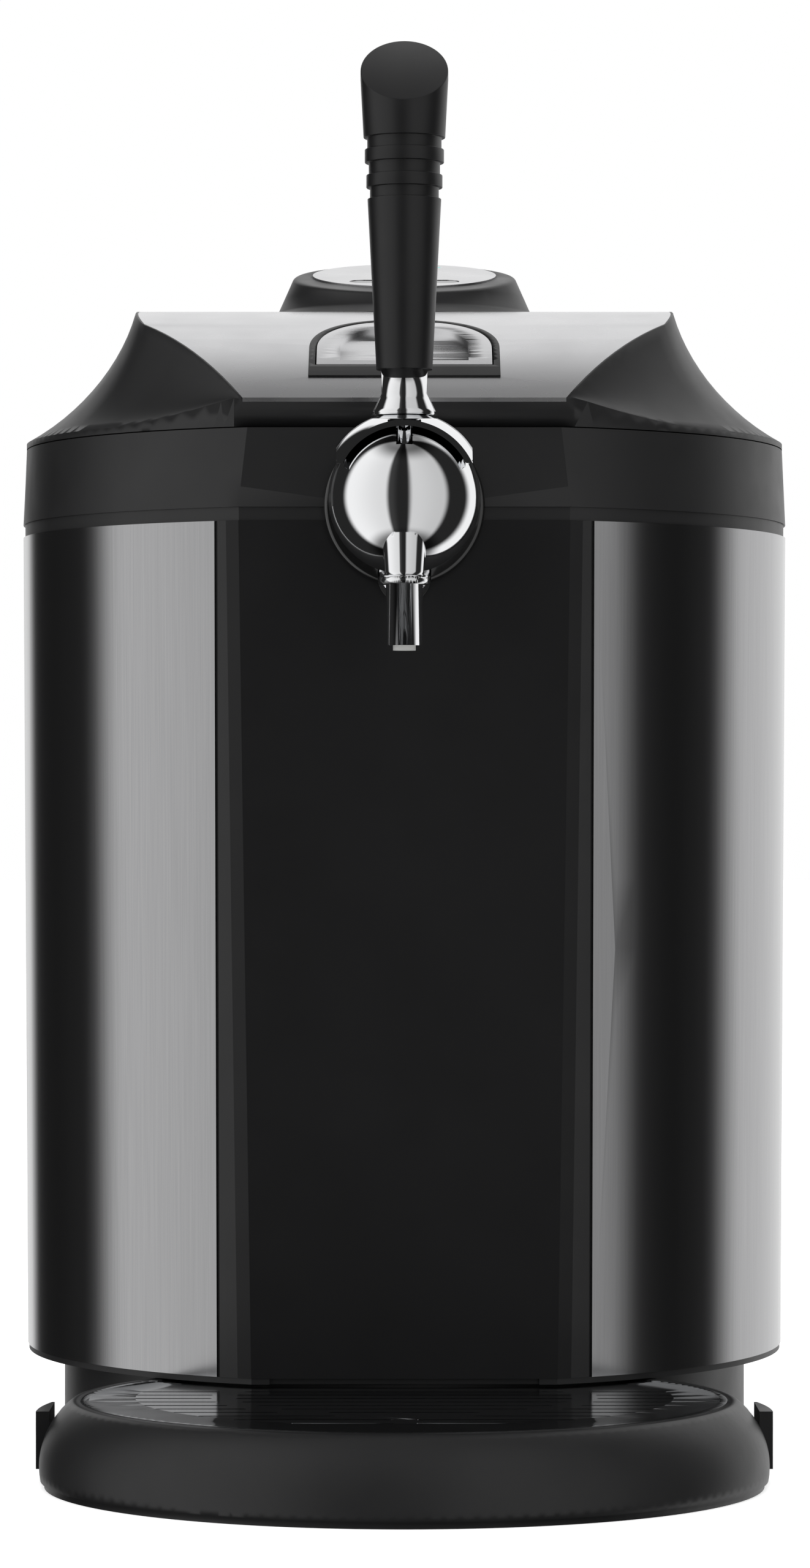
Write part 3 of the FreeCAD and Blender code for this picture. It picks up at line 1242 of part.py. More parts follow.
def display_window():
    """Dark lens of the display."""
    return dial_window(0.0, -DISC_T, DISC_PROUD - 0.2)


def indicator_lens():
    """Small round lamp on the disc."""
    return dial_part(LAMP_R, -DISC_T, DISC_PROUD, LAMP_X, -LAMP_BACK)


def control_board():
    """Circuit board under the pad."""
    z0 = LID_TOP_Z
    board = disc(DIAL_TOP_R - 7.0, z0, z0 + 1.6, 0.0, -DIAL_BACK)
    chip = block(-8.0, 8.0, -DIAL_BACK - 6.0, -DIAL_BACK + 6.0, z0 + 1.6, z0 + 3.4)
    return board.fuse(chip).removeSplitter()


# Tap

def ball(radius):
    """Sphere about the tap's centre."""
    return Part.makeSphere(radius, V(0, -TAP_FORWARD, TAP_Z))


def tap_ball():
    """Ball body with its neck, the lever's slot and the valve's bore."""
    neck_back = FRONT_REACH + ESCUTCHEON_T
    neck = rod_forward(NECK_R, neck_back, TAP_FORWARD, 0.0, TAP_Z)
    body = ball(BALL_R).fuse(neck).removeSplitter()
    slot = Part.makeCylinder(BALL_R + 2.0, 2.0 * LEVER_SLOT_HALF, V(-LEVER_SLOT_HALF, -TAP_FORWARD, TAP_Z),
                             V(1, 0, 0), LEVER_DEG + 2.0 * SLOT_MARGIN_DEG)
    slot.rotate(V(0, -TAP_FORWARD, TAP_Z), V(1, 0, 0), -SLOT_MARGIN_DEG)
    cavity = rod_across(LEVER_CAVITY_R, -LEVER_CAVITY_HALF, LEVER_CAVITY_HALF, TAP_FORWARD, TAP_Z)
    valve = rod_forward(VALVE_R + RUNNING_FIT, TAP_FORWARD - VALVE_BACK - VALVE_TRAVEL - 1.0,
                        TAP_FORWARD + VALVE_FRONT + 1.0, 0.0, VALVE_Z)
    throat = block(-LEVER_BALL_R - 0.5, LEVER_BALL_R + 0.5, TAP_FORWARD - 10.5, TAP_FORWARD + 4.0,
                   VALVE_Z - LEVER_BALL_R - 0.5, TAP_Z)
    pin = rod_across(LEVER_PIN_R, -LEVER_PIN_HALF, LEVER_PIN_HALF, TAP_FORWARD, TAP_Z)
    return cut_all(body, [slot, cavity, valve, throat, pin])


def lever_pin():
    """Cross pin that the lever turns on."""
    return rod_across(LEVER_PIN_R, -LEVER_PIN_HALF, LEVER_PIN_HALF, TAP_FORWARD, TAP_Z)


def lever_saddle():
    """Polished saddle over the ball, with its stalk, blade and finger."""
    inner = BALL_R + SADDLE_GAP
    outer = inner + SADDLE_T
    shell = ball(outer).cut(ball(inner))
    shell = shell.common(block(-SADDLE_HALF, SADDLE_HALF, TAP_FORWARD - SADDLE_REACH,
                               TAP_FORWARD + SADDLE_REACH, TAP_Z + SADDLE_FOOT, FAR))
    profile = [V(0, 0, TAP_Z + inner + 0.3), V(STALK_FLARE_R, 0, TAP_Z + inner + 0.3), V(STALK_R, 0, STALK_FLARE_Z),
               V(STALK_R, 0, STALK_TOP_Z), V(STUD_R, 0, STALK_TOP_Z), V(STUD_R, 0, STUD_TOP_Z), V(0, 0, STUD_TOP_Z)]
    stalk = Part.Face(Part.makePolygon(profile + profile[:1])).revolve(V(0, 0, 0), V(0, 0, 1), 360.0)
    stalk.translate(V(0, -TAP_FORWARD, 0))
    flare_cut = ball(inner)
    blade = block(-LEVER_BLADE_HALF, LEVER_BLADE_HALF, TAP_FORWARD - 3.0, TAP_FORWARD + 3.0, TAP_Z, TAP_Z + inner + 0.5)
    hub = rod_across(LEVER_HUB_R, -LEVER_BLADE_HALF, LEVER_BLADE_HALF, TAP_FORWARD, TAP_Z)
    finger = disc(LEVER_FINGER_R, VALVE_Z, TAP_Z, 0.0, TAP_FORWARD)
    knob = Part.makeSphere(LEVER_BALL_R, V(0, -TAP_FORWARD, VALVE_Z))
    lever = shell.fuse([stalk.cut(flare_cut), blade, hub, finger, knob]).removeSplitter()
    return lever.cut(rod_across(LEVER_PIN_R + RUNNING_FIT, -FAR, FAR, TAP_FORWARD, TAP_Z))


def valve_stem():
    """Sliding valve that the lever's finger moves."""
    back = TAP_FORWARD - VALVE_BACK
    stem = rod_forward(VALVE_R, back, TAP_FORWARD + VALVE_FRONT, 0.0, VALVE_Z)
    notch = block(-VALVE_R - 1.0, VALVE_R + 1.0, TAP_FORWARD - VALVE_NOTCH_HALF, TAP_FORWARD + VALVE_NOTCH_HALF,
                  VALVE_Z - LEVER_BALL_R - 0.2, FAR)
    return stem.cut(notch)


def tap_handle():
    """Tall ringed handle with a slanted top."""
    points = [V(0, 0, STALK_TOP_Z), V(HANDLE_FOOT_R, 0, STALK_TOP_Z), V(HANDLE_CONE_R, 0, HANDLE_CONE_Z)]
    z = HANDLE_CONE_Z
    for radius, height in HANDLE_RINGS:
        points.append(V(radius, 0, z))
        z = z + height
        points.append(V(radius, 0, z))
    points.append(V(HANDLE_HEAD_R, 0, z))
    points.append(V(HANDLE_MAX_R, 0, HANDLE_MAX_Z))
    points.append(V(HANDLE_MAX_R, 0, HANDLE_BACK_Z + 5.0))
    points.append(V(0, 0, HANDLE_BACK_Z + 5.0))
    grip = Part.Face(Part.makePolygon(points + points[:1])).revolve(V(0, 0, 0), V(0, 0, 1), 360.0)
    grip.translate(V(0, -TAP_FORWARD, 0))
    slope = (HANDLE_BACK_Z - HANDLE_FRONT_Z) / (2.0 * HANDLE_MAX_R)
    far_z = HANDLE_FRONT_Z - slope * HANDLE_MAX_R
    near_z = HANDLE_BACK_Z + slope * HANDLE_MAX_R
    wedge = prism([(TAP_FORWARD + 2.0 * HANDLE_MAX_R, far_z), (TAP_FORWARD - 2.0 * HANDLE_MAX_R, near_z),
                   (TAP_FORWARD - 2.0 * HANDLE_MAX_R, near_z + 50.0), (TAP_FORWARD + 2.0 * HANDLE_MAX_R, near_z + 50.0)],
                  2.0 * HANDLE_MAX_R)
    hole = disc(STUD_R, STALK_TOP_Z - 1.0, STUD_TOP_Z, 0.0, TAP_FORWARD)
    return grip.cut(wedge).cut(hole)


def tap_escutcheon():
    """Round rose between the tap and the front."""
    rose = rod_forward(ESCUTCHEON_R, FRONT_REACH, FRONT_REACH + ESCUTCHEON_T, 0.0, TAP_Z)
    front = [edge for edge in rose.Edges if abs(edge.BoundBox.YMin + FRONT_REACH + ESCUTCHEON_T) < 0.01
             and edge.BoundBox.YLength < 0.01]
    rose = rose.makeFillet(1.6, front)
    return cut_all(rose, [rod_forward(SHANK_R, 0.0, FAR, 0.0, TAP_Z), shank_u(SEAL_MARGIN, FRONT_REACH, FAR)])


def tap_shank():
    """Tube through the front wall."""
    front = FRONT_REACH + ESCUTCHEON_T
    return rod_forward(SHANK_R, SHANK_END, front, 0.0, TAP_Z).cut(rod_forward(SHANK_BORE_R, 0.0, FAR, 0.0, TAP_Z))


def shank_nut():
    """Hexagon nut behind the collar's front wall."""
    face = FRONT_REACH - COLLAR_WALL
    corners = []
    for index in range(6):
        turn = math.radians(60.0 * index)
        corners.append(V(NUT_R * math.cos(turn), -face, TAP_Z + NUT_R * math.sin(turn)))
    nut = Part.Face(Part.makePolygon(corners + corners[:1])).extrude(V(0, NUT_T, 0))
    return nut.cut(rod_forward(SHANK_R, 0.0, FAR, 0.0, TAP_Z))


def shank_u(grow, back, front):
    """U-shaped bar under the tap, from a back to a front distance."""
    half = BLOCK_HALF + grow
    centre = BLOCK_FOOT_Z + BLOCK_HALF
    bar = block(-half, half, back, front, centre, TAP_Z - SHANK_R - 1.0)
    return bar.fuse(rod_forward(half, back, front, 0.0, centre)).removeSplitter()


def shank_block():
    """Polished block under the ball."""
    bar = shank_u(0.0, FRONT_REACH, BLOCK_REACH)
    neck = rod_forward(NECK_R, 0.0, FAR, 0.0, TAP_Z)
    return cut_all(bar, [ball(BALL_R), neck])


def shank_gasket():
    """Dark seal round the polished block at the front panel."""
    seal = shank_u(SEAL_MARGIN, FRONT_REACH, FRONT_REACH + SEAL_T)
    neck = rod_forward(NECK_R, 0.0, FAR, 0.0, TAP_Z)
    return cut_all(seal, [shank_u(0.0, 0.0, FAR), neck])


def tap_nozzle():
    """Spout below the ball."""
    flange_top = NOZZLE_FLANGE_Z + NOZZLE_FLANGE_T
    cone = Part.makeCone(NOZZLE_R + 0.4, NOZZLE_TOP_R + 0.6, 14.0, V(0, -NOZZLE_FORWARD, flange_top))
    flange = disc(NOZZLE_FLANGE_R, NOZZLE_FLANGE_Z, flange_top, 0.0, NOZZLE_FORWARD)
    tube = disc(NOZZLE_R, NOZZLE_FOOT_Z, NOZZLE_FLANGE_Z, 0.0, NOZZLE_FORWARD)
    bore = disc(NOZZLE_BORE_R, 0.0, flange_top, 0.0, NOZZLE_FORWARD)
    return cut_all(cone.fuse([flange, tube]).removeSplitter(), [bore, ball(BALL_R)])


def nozzle_tip():
    """Thin inner tube at the spout's mouth."""
    tube = disc(TIP_R, TIP_FOOT_Z, TIP_TOP_Z, 0.0, NOZZLE_FORWARD)
    seat = disc(NOZZLE_BORE_R, TIP_TOP_Z - 3.0, TIP_TOP_Z, 0.0, NOZZLE_FORWARD)
    return tube.fuse(seat).removeSplitter().cut(disc(TIP_R - TIP_WALL, 0.0, FAR, 0.0, NOZZLE_FORWARD))


# Beer line

def shank_elbow():
    """Elbow that turns the line to the side on the ledge."""
    half = ELBOW_HALF
    body = block(-half, half, ELBOW_FORWARD - half, SHANK_END, TAP_Z - half, TAP_Z + half)
    edges = [edge for edge in body.Edges if edge.BoundBox.ZLength > half]
    return body.makeFillet(2.0, edges)


def hose_points():
    """Start, arc and end of the parked line."""
    start = V(ELBOW_HALF, -ELBOW_FORWARD, TAP_Z)
    bend = V(ELBOW_HALF + HOSE_RUN, -ELBOW_FORWARD, TAP_Z)
    half_turn = math.radians(HOSE_DEG / 2.0)
    turn = math.radians(HOSE_DEG)
    radius = ELBOW_FORWARD
    middle = V(bend.x + radius * math.sin(half_turn), -radius * math.cos(half_turn), TAP_Z)
    end = V(bend.x + radius * math.sin(turn), -radius * math.cos(turn), TAP_Z)
    heading = V(math.cos(turn), math.sin(turn), 0)
    return start, bend, middle, end, heading


def beer_line():
    """Hose from the elbow round the ledge to the coupler."""
    start, bend, middle, end, heading = hose_points()
    tail = end + heading * HOSE_RUN
    path = Part.Wire([Part.LineSegment(start, bend).toShape(), Part.Arc(bend, middle, end).toShape(),
                      Part.LineSegment(end, tail).toShape()])
    outer = Part.Wire([Part.Circle(start, V(1, 0, 0), HOSE_R).toShape()])
    inner = Part.Wire([Part.Circle(start, V(1, 0, 0), HOSE_BORE_R).toShape()])
    return path.makePipeShell([outer], True, False).cut(path.makePipeShell([inner], True, False))


def keg_coupler():
    """Coupler for the keg, parked on the ledge."""
    start, bend, middle, end, heading = hose_points()
    base = end + heading * HOSE_RUN
    grip = Part.makeCylinder(COUPLER_GRIP_R, COUPLER_GRIP_LENGTH, base, heading)
    drum = Part.makeCylinder(COUPLER_R, COUPLER_LENGTH, base + heading * COUPLER_GRIP_LENGTH, heading)
    return grip.fuse(drum).removeSplitter()


def main():
    """Write every sub-part."""
    os.makedirs("parts", exist_ok=True)
    form = lid_form(0.0, LID_FOOT_Z)
    skin = plate_skin(form)
    pieces = {
        "base_column": base_column(),
        "base_plate": base_plate(),
        "rubber_feet": rubber_feet(),
        "tray_tongue": tray_tongue(),
        "drip_tray": drip_tray(),
        "drip_plate": drip_plate(),
        "tray_button_right": tray_button(),
        "tray_button_left": mirrored(tray_button()),
        "body_shell": body_shell(),
        "base_rim": base_rim(),
        "front_panel": front_panel(),
        "steel_side_right": steel_side(),
        "steel_side_left": mirrored(steel_side()),
        "trim_band": trim_band(),
        "collar": collar(),
        "latch_keeper": latch_keeper(),
        "chamber_liner": chamber_liner(),
        "insulation_foam": insulation_foam(),
        "chamber_gasket": chamber_gasket(),
        "cold_block": cold_block(),
        "peltier_module": peltier_module(),
        "heat_sink": heat_sink(),
        "fan_frame": fan_frame(),
        "fan_rotor": fan_rotor(),
        "rear_housing": rear_housing(),
        "housing_screws": housing_screws(),
        "rear_grille": rear_grille(),
        "inlet_socket": inlet_socket(),
        "power_board": power_board(),
        "lid_shell": lid_shell(form, skin),
        "lid_plate": lid_plate(skin),
        "lid_inner_panel": lid_inner_panel(),
        "lid_foam": lid_foam(),
        "lid_hinge_arms": lid_hinge_arms(),
        "hinge_bracket": hinge_bracket(),
        "hinge_pins": hinge_pins(),
        "release_bezel": release_bezel(),
        "release_button": release_button(),
        "button_spring": button_spring(),
        "latch_hook": latch_hook(),
        "control_pad": control_pad(),
        "control_disc": control_disc(),
        "display_window": display_window(),
        "indicator_lens": indicator_lens(),
        "control_board": control_board(),
        "tap_ball": tap_ball(),
        "lever_pin": lever_pin(),
        "lever_saddle": lever_saddle(),
        "valve_stem": valve_stem(),
        "tap_handle": tap_handle(),
        "tap_escutcheon": tap_escutcheon(),
        "tap_shank": tap_shank(),
        "shank_nut": shank_nut(),
        "shank_block": shank_block(),
        "shank_gasket": shank_gasket(),
        "tap_nozzle": tap_nozzle(),
        "nozzle_tip": nozzle_tip(),
        "shank_elbow": shank_elbow(),
        "beer_line": beer_line(),
        "keg_coupler": keg_coupler(),
    }
    for name, shape in pieces.items():
        save(name, shape)
        print(name, len(shape.Solids), shape.isValid(), round(shape.Volume / 1000.0, 2))


main()
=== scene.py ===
"""Looks of the countertop mini keg dispenser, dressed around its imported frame."""

import json
import logging
import math
from collections.abc import Sequence
from dataclasses import dataclass, field
from enum import Enum

import bmesh
import bpy
from mathutils import Matrix, Vector


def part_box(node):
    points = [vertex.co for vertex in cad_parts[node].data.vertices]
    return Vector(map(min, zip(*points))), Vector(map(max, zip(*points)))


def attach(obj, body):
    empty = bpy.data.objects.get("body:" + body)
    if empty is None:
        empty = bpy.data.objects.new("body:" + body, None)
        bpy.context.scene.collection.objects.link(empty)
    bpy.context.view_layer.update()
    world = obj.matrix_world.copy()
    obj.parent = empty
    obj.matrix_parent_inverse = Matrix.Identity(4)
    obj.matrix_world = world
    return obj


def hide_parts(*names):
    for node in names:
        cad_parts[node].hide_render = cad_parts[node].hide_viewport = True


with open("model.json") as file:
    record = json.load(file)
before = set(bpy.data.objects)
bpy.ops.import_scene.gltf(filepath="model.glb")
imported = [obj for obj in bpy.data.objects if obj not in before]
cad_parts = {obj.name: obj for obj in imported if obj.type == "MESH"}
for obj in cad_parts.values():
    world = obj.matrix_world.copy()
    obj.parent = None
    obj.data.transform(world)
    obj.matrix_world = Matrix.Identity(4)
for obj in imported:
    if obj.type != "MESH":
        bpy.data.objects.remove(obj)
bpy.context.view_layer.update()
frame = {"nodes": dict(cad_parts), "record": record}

LOG = logging.getLogger("dispenser")
MM = 0.001
NOISE_LOW = 0.25        # most of a noise's values lie between these two
NOISE_HIGH = 0.75
FORM_WELD = 0.001       # points of a new form closer than this are one, in millimetres
COPY_WELD = 0.000002    # points of a node's copy closer than this are one, in metres
WHITE = (1.0, 1.0, 1.0, 1.0)
Colour = tuple[float, float, float]
Point = tuple[float, float, float]


class Brush(Enum):
    """Direction in which a metal is brushed, as the stretch of its streaks along X, Y and Z."""

    UPRIGHT = (1.0, 1.0, 0.01)
    ACROSS = (0.01, 1.0, 1.0)
    NONE = (1.0, 1.0, 1.0)


class Shader:
    """A material's node tree with one main shader."""

    def __init__(self, name: str, colour: Colour, roughness: float, metallic: float = 0.0) -> None:
        """Start a material.

        Args:
            name: Name of the material.
            colour: Base colour in linear light.
            roughness: Roughness of the surface.
            metallic: One for bare metal.
        """
        self.material = bpy.data.materials.new(name)
        self.material.use_nodes = True
        self.material.diffuse_color = (*colour, 1.0)
        self.tree = self.material.node_tree
        self.main = self.tree.nodes["Principled BSDF"]
        self.main.inputs["Base Color"].default_value = (*colour, 1.0)
        self.main.inputs["Roughness"].default_value = roughness
        self.main.inputs["Metallic"].default_value = metallic

    def add(self, kind: str, **settings: object) -> bpy.types.Node:
        """Add a node.

        Args:
            kind: Blender's name of the node type.
            **settings: Properties of the node.

        Returns:
            The new node.
        """
        node = self.tree.nodes.new(kind)
        for key, value in settings.items():
            setattr(node, key, value)
        return node

    def link(self, start: bpy.types.NodeSocket, end: bpy.types.NodeSocket) -> None:
        """Join two sockets."""
        self.tree.links.new(start, end)

    def place(self, stretch: Point = (1.0, 1.0, 1.0)) -> bpy.types.NodeSocket:
        """Give object coordinates.

        Args:
            stretch: Scale along each axis.

        Returns:
            The socket with the coordinates.
        """
        source = self.add("ShaderNodeTexCoord")
        mapping = self.add("ShaderNodeMapping")
        mapping.inputs["Scale"].default_value = stretch
        self.link(source.outputs["Object"], mapping.inputs["Vector"])
        return mapping.outputs["Vector"]

    def noise(self, size: float, detail: float = 2.0,
              stretch: Point = (1.0, 1.0, 1.0)) -> bpy.types.NodeSocket:
        """Add cloudy noise.

        Args:
            size: Size of its features in metres.
            detail: Number of finer layers.
            stretch: Scale along each axis.

        Returns:
            The socket with its value.
        """
        node = self.add("ShaderNodeTexNoise")
        node.inputs["Scale"].default_value = 1.0 / size
        node.inputs["Detail"].default_value = detail
        self.link(self.place(stretch), node.inputs["Vector"])
        return node.outputs["Fac"]

    def spread(self, value: bpy.types.NodeSocket, low: float, high: float) -> bpy.types.NodeSocket:
        """Stretch a value between two ends.

        Args:
            value: Socket with a value about a half.
            low: Result where the value is low.
            high: Result where the value is high.

        Returns:
            The socket with the result.
        """
        node = self.add("ShaderNodeMapRange")
        node.inputs["From Min"].default_value = NOISE_LOW
        node.inputs["From Max"].default_value = NOISE_HIGH
        node.inputs["To Min"].default_value = low
        node.inputs["To Max"].default_value = high
        self.link(value, node.inputs["Value"])
        return node.outputs["Result"]

    def tint(self, value: bpy.types.NodeSocket, dark: Colour, light: Colour) -> None:
        """Vary the base colour between two shades.

        Args:
            value: Socket with a value from nought to one.
            dark: Colour where the value is low.
            light: Colour where the value is high.
        """
        mix = self.add("ShaderNodeMix", data_type="RGBA")
        self.link(value, mix.inputs["Factor"])
        mix.inputs["A"].default_value = (*dark, 1.0)
        mix.inputs["B"].default_value = (*light, 1.0)
        self.link(mix.outputs["Result"], self.main.inputs["Base Color"])

    def bump(self, height: bpy.types.NodeSocket, depth: float, strength: float) -> None:
        """Raise the surface by a height.

        Args:
            height: Socket with the height.
            depth: Depth of the relief in metres.
            strength: Strength of the relief.
        """
        node = self.add("ShaderNodeBump")
        node.inputs["Distance"].default_value = depth
        node.inputs["Strength"].default_value = strength
        self.link(height, node.inputs["Height"])
        self.link(node.outputs["Normal"], self.main.inputs["Normal"])


def shade(colour: Colour, factor: float) -> Colour:
    """Scale a colour.

    Args:
        colour: Colour in linear light.
        factor: Factor on each channel.

    Returns:
        The scaled colour.
    """
    return tuple(min(1.0, channel * factor) for channel in colour)


@dataclass(frozen=True)
class Plastic:
    """Moulded plastic with a fine grain."""

    name: str
    colour: Colour
    roughness: float
    grain: float = 0.0004
    depth: float = 0.00004
    strength: float = 0.35
    gloss: float = 0.5
    coat: float = 0.0
    coat_roughness: float = 0.06
    cloud_size: float = 0.06
    darkest: float = 0.88
    lightest: float = 1.14
    smudge_size: float = 0.018
    smoother: float = 0.035
    rougher: float = 0.045

    def build(self) -> bpy.types.Material:
        """Make the material.

        Returns:
            The material.
        """
        shader = Shader(self.name, self.colour, self.roughness)
        cloud = shader.noise(self.cloud_size, 3.0)
        grain = shader.noise(self.grain, 2.0)
        shader.tint(shader.spread(cloud, 0.0, 1.0), shade(self.colour, self.darkest),
                    shade(self.colour, self.lightest))
        smudge = shader.noise(self.smudge_size, 4.0)
        rough = shader.spread(smudge, self.roughness - self.smoother, self.roughness + self.rougher)
        shader.link(rough, shader.main.inputs["Roughness"])
        shader.bump(grain, self.depth, self.strength)
        shader.main.inputs["Specular IOR Level"].default_value = self.gloss
        shader.main.inputs["Coat Weight"].default_value = self.coat
        shader.main.inputs["Coat Roughness"].default_value = self.coat_roughness
        return shader.material


@dataclass(frozen=True)
class Metal:
    """Bare metal, brushed or plain."""

    name: str
    colour: Colour
    roughness: float
    brush: Brush = Brush.NONE
    streak: float = 0.0006
    contrast: float = 0.06
    strength: float = 0.12
    depth: float = 0.00002
    cloud_size: float = 0.02
    smoothest: float = 0.88
    roughest: float = 1.14

    def build(self) -> bpy.types.Material:
        """Make the material.

        Returns:
            The material.
        """
        shader = Shader(self.name, self.colour, self.roughness, 1.0)
        lines = shader.noise(self.streak, 4.0, self.brush.value)
        shader.tint(shader.spread(lines, 0.0, 1.0), shade(self.colour, 1.0 - self.contrast),
                    shade(self.colour, 1.0 + self.contrast))
        clouds = shader.noise(self.cloud_size, 3.0, self.brush.value)
        rough = shader.spread(clouds, self.roughness * self.smoothest, self.roughness * self.roughest)
        shader.link(rough, shader.main.inputs["Roughness"])
        shader.bump(lines, self.depth, self.strength)
        return shader.material


@dataclass(frozen=True)
class Foam:
    """Closed cell foam."""

    name: str
    colour: Colour
    roughness: float = 0.85
    cells_per_metre: float = 500.0
    cloud_size: float = 0.03
    darkest: float = 0.86
    depth: float = 0.0006
    strength: float = 0.6

    def build(self) -> bpy.types.Material:
        """Make the material.

        Returns:
            The material.
        """
        shader = Shader(self.name, self.colour, self.roughness)
        cells = shader.add("ShaderNodeTexVoronoi")
        cells.inputs["Scale"].default_value = self.cells_per_metre
        shader.link(shader.place(), cells.inputs["Vector"])
        clouds = shader.spread(shader.noise(self.cloud_size), 0.0, 1.0)
        shader.tint(clouds, shade(self.colour, self.darkest), self.colour)
        shader.bump(cells.outputs["Distance"], self.depth, self.strength)
        return shader.material


@dataclass(frozen=True)
class Rubber:
    """Soft rubber with a dusty sheen."""

    name: str
    colour: Colour
    roughness: float = 0.7
    sheen: float = 0.2
    dust_size: float = 0.012
    darkest: float = 0.8
    lightest: float = 1.3
    grain: float = 0.0006
    depth: float = 0.00006
    strength: float = 0.5

    def build(self) -> bpy.types.Material:
        """Make the material.

        Returns:
            The material.
        """
        shader = Shader(self.name, self.colour, self.roughness)
        dust = shader.spread(shader.noise(self.dust_size, 3.0), 0.0, 1.0)
        shader.tint(dust, shade(self.colour, self.darkest), shade(self.colour, self.lightest))
        shader.bump(shader.noise(self.grain), self.depth, self.strength)
        shader.main.inputs["Sheen Weight"].default_value = self.sheen
        return shader.material


@dataclass(frozen=True)
class CircuitBoard:
    """Coated board with copper traces under the coating."""

    name: str
    colour: Colour
    trace: Colour
    roughness: float = 0.35
    bricks_per_metre: float = 90.0
    trace_width: float = 0.035
    second_shade: float = 0.85
    depth: float = 0.00005
    strength: float = 0.4

    def build(self) -> bpy.types.Material:
        """Make the material.

        Returns:
            The material.
        """
        shader = Shader(self.name, self.colour, self.roughness)
        bricks = shader.add("ShaderNodeTexBrick")
        bricks.inputs["Scale"].default_value = self.bricks_per_metre
        bricks.inputs["Mortar Size"].default_value = self.trace_width
        bricks.inputs["Color1"].default_value = (*self.colour, 1.0)
        bricks.inputs["Color2"].default_value = (*shade(self.colour, self.second_shade), 1.0)
        bricks.inputs["Mortar"].default_value = (*self.trace, 1.0)
        shader.link(shader.place(), bricks.inputs["Vector"])
        shader.link(bricks.outputs["Color"], shader.main.inputs["Base Color"])
        shader.bump(bricks.outputs["Fac"], self.depth, self.strength)
        return shader.material


@dataclass(frozen=True)
class ClearPlastic:
    """Tinted see-through plastic, for lenses and the hose."""

    name: str
    colour: Colour
    roughness: float
    through: float
    glow: float = 0.0
    smudge_size: float = 0.008
    smoothest: float = 0.8
    roughest: float = 1.3
    cloud_size: float = 0.01
    darkest: float = 0.92

    def build(self) -> bpy.types.Material:
        """Make the material.

        Returns:
            The material.
        """
        shader = Shader(self.name, self.colour, self.roughness)
        smudge = shader.noise(self.smudge_size, 3.0)
        rough = shader.spread(smudge, self.roughness * self.smoothest, self.roughness * self.roughest)
        shader.link(rough, shader.main.inputs["Roughness"])
        clouds = shader.spread(shader.noise(self.cloud_size), 0.0, 1.0)
        shader.tint(clouds, shade(self.colour, self.darkest), self.colour)
        shader.main.inputs["Transmission Weight"].default_value = self.through
        shader.main.inputs["Emission Color"].default_value = (*self.colour, 1.0)
        shader.main.inputs["Emission Strength"].default_value = self.glow
        return shader.material


FINISHES = {finish.name: finish for finish in (
    Plastic("matte_black", (0.016, 0.016, 0.0165), 0.42, gloss=0.42),
    Plastic("soft_black", (0.010, 0.010, 0.0105), 0.36, grain=0.0003, gloss=0.42),
    Plastic("panel_black", (0.0075, 0.0075, 0.008), 0.46, grain=0.0003, depth=0.00002, gloss=0.3),
    Plastic("gloss_black", (0.008, 0.008, 0.008), 0.14, grain=0.004, depth=0.00002, coat=0.6),
    Plastic("handle_black", (0.010, 0.010, 0.0105), 0.40, grain=0.0003, gloss=0.4),
    Plastic("fan_black", (0.03, 0.03, 0.03), 0.5),
    Metal("brushed_steel", (0.37, 0.37, 0.375), 0.17, Brush.UPRIGHT, contrast=0.05, strength=0.06),
    Metal("polished_steel", (0.48, 0.49, 0.50), 0.15, Brush.ACROSS, contrast=0.04, strength=0.05),
    Metal("plain_steel", (0.50, 0.50, 0.51), 0.32, contrast=0.08),
    Metal("silver", (0.66, 0.66, 0.67), 0.28, contrast=0.03, streak=0.0003, strength=0.06),
    Metal("chrome", (0.86, 0.865, 0.875), 0.035, streak=0.02, contrast=0.01, strength=0.0),
    Metal("aluminium", (0.62, 0.63, 0.64), 0.38, Brush.UPRIGHT, contrast=0.08),
    Plastic("liner_grey", (0.36, 0.37, 0.38), 0.38, depth=0.00003),
    Foam("foam", (0.72, 0.68, 0.56)),
    Rubber("seal_rubber", (0.012, 0.012, 0.012)),
    Rubber("foot_rubber", (0.02, 0.02, 0.02)),
    Plastic("module_white", (0.68, 0.68, 0.66), 0.45),
    CircuitBoard("board_green", (0.02, 0.13, 0.05), (0.20, 0.26, 0.08)),
    ClearPlastic("display_dark", (0.015, 0.017, 0.02), 0.08, 0.0),
    ClearPlastic("lamp_teal", (0.02, 0.42, 0.36), 0.2, 0.0, glow=0.5),
    ClearPlastic("hose_clear", (0.70, 0.73, 0.74), 0.28, 0.35),
)}


class Wardrobe:
    """The finishes, each made once, and handed to nodes and pieces by slot."""

    def __init__(self) -> None:
        """Make every finish."""
        self.materials = {slot: finish.build() for slot, finish in FINISHES.items()}

    def dress_nodes(self) -> None:
        """Give every carried over node the finish of its slot."""
        for row in frame["record"]["subparts"]:
            node = frame["nodes"][row["node"]]
            for slot in node.material_slots:
                slot.material = self.materials[row["material_slot"]]

    def dress(self, piece: bpy.types.Object, slot: str) -> None:
        """Dress a new piece.

        Args:
            piece: The piece.
            slot: Name of its material slot in the record.
        """
        piece.data.materials.clear()
        piece.data.materials.append(self.materials[slot])


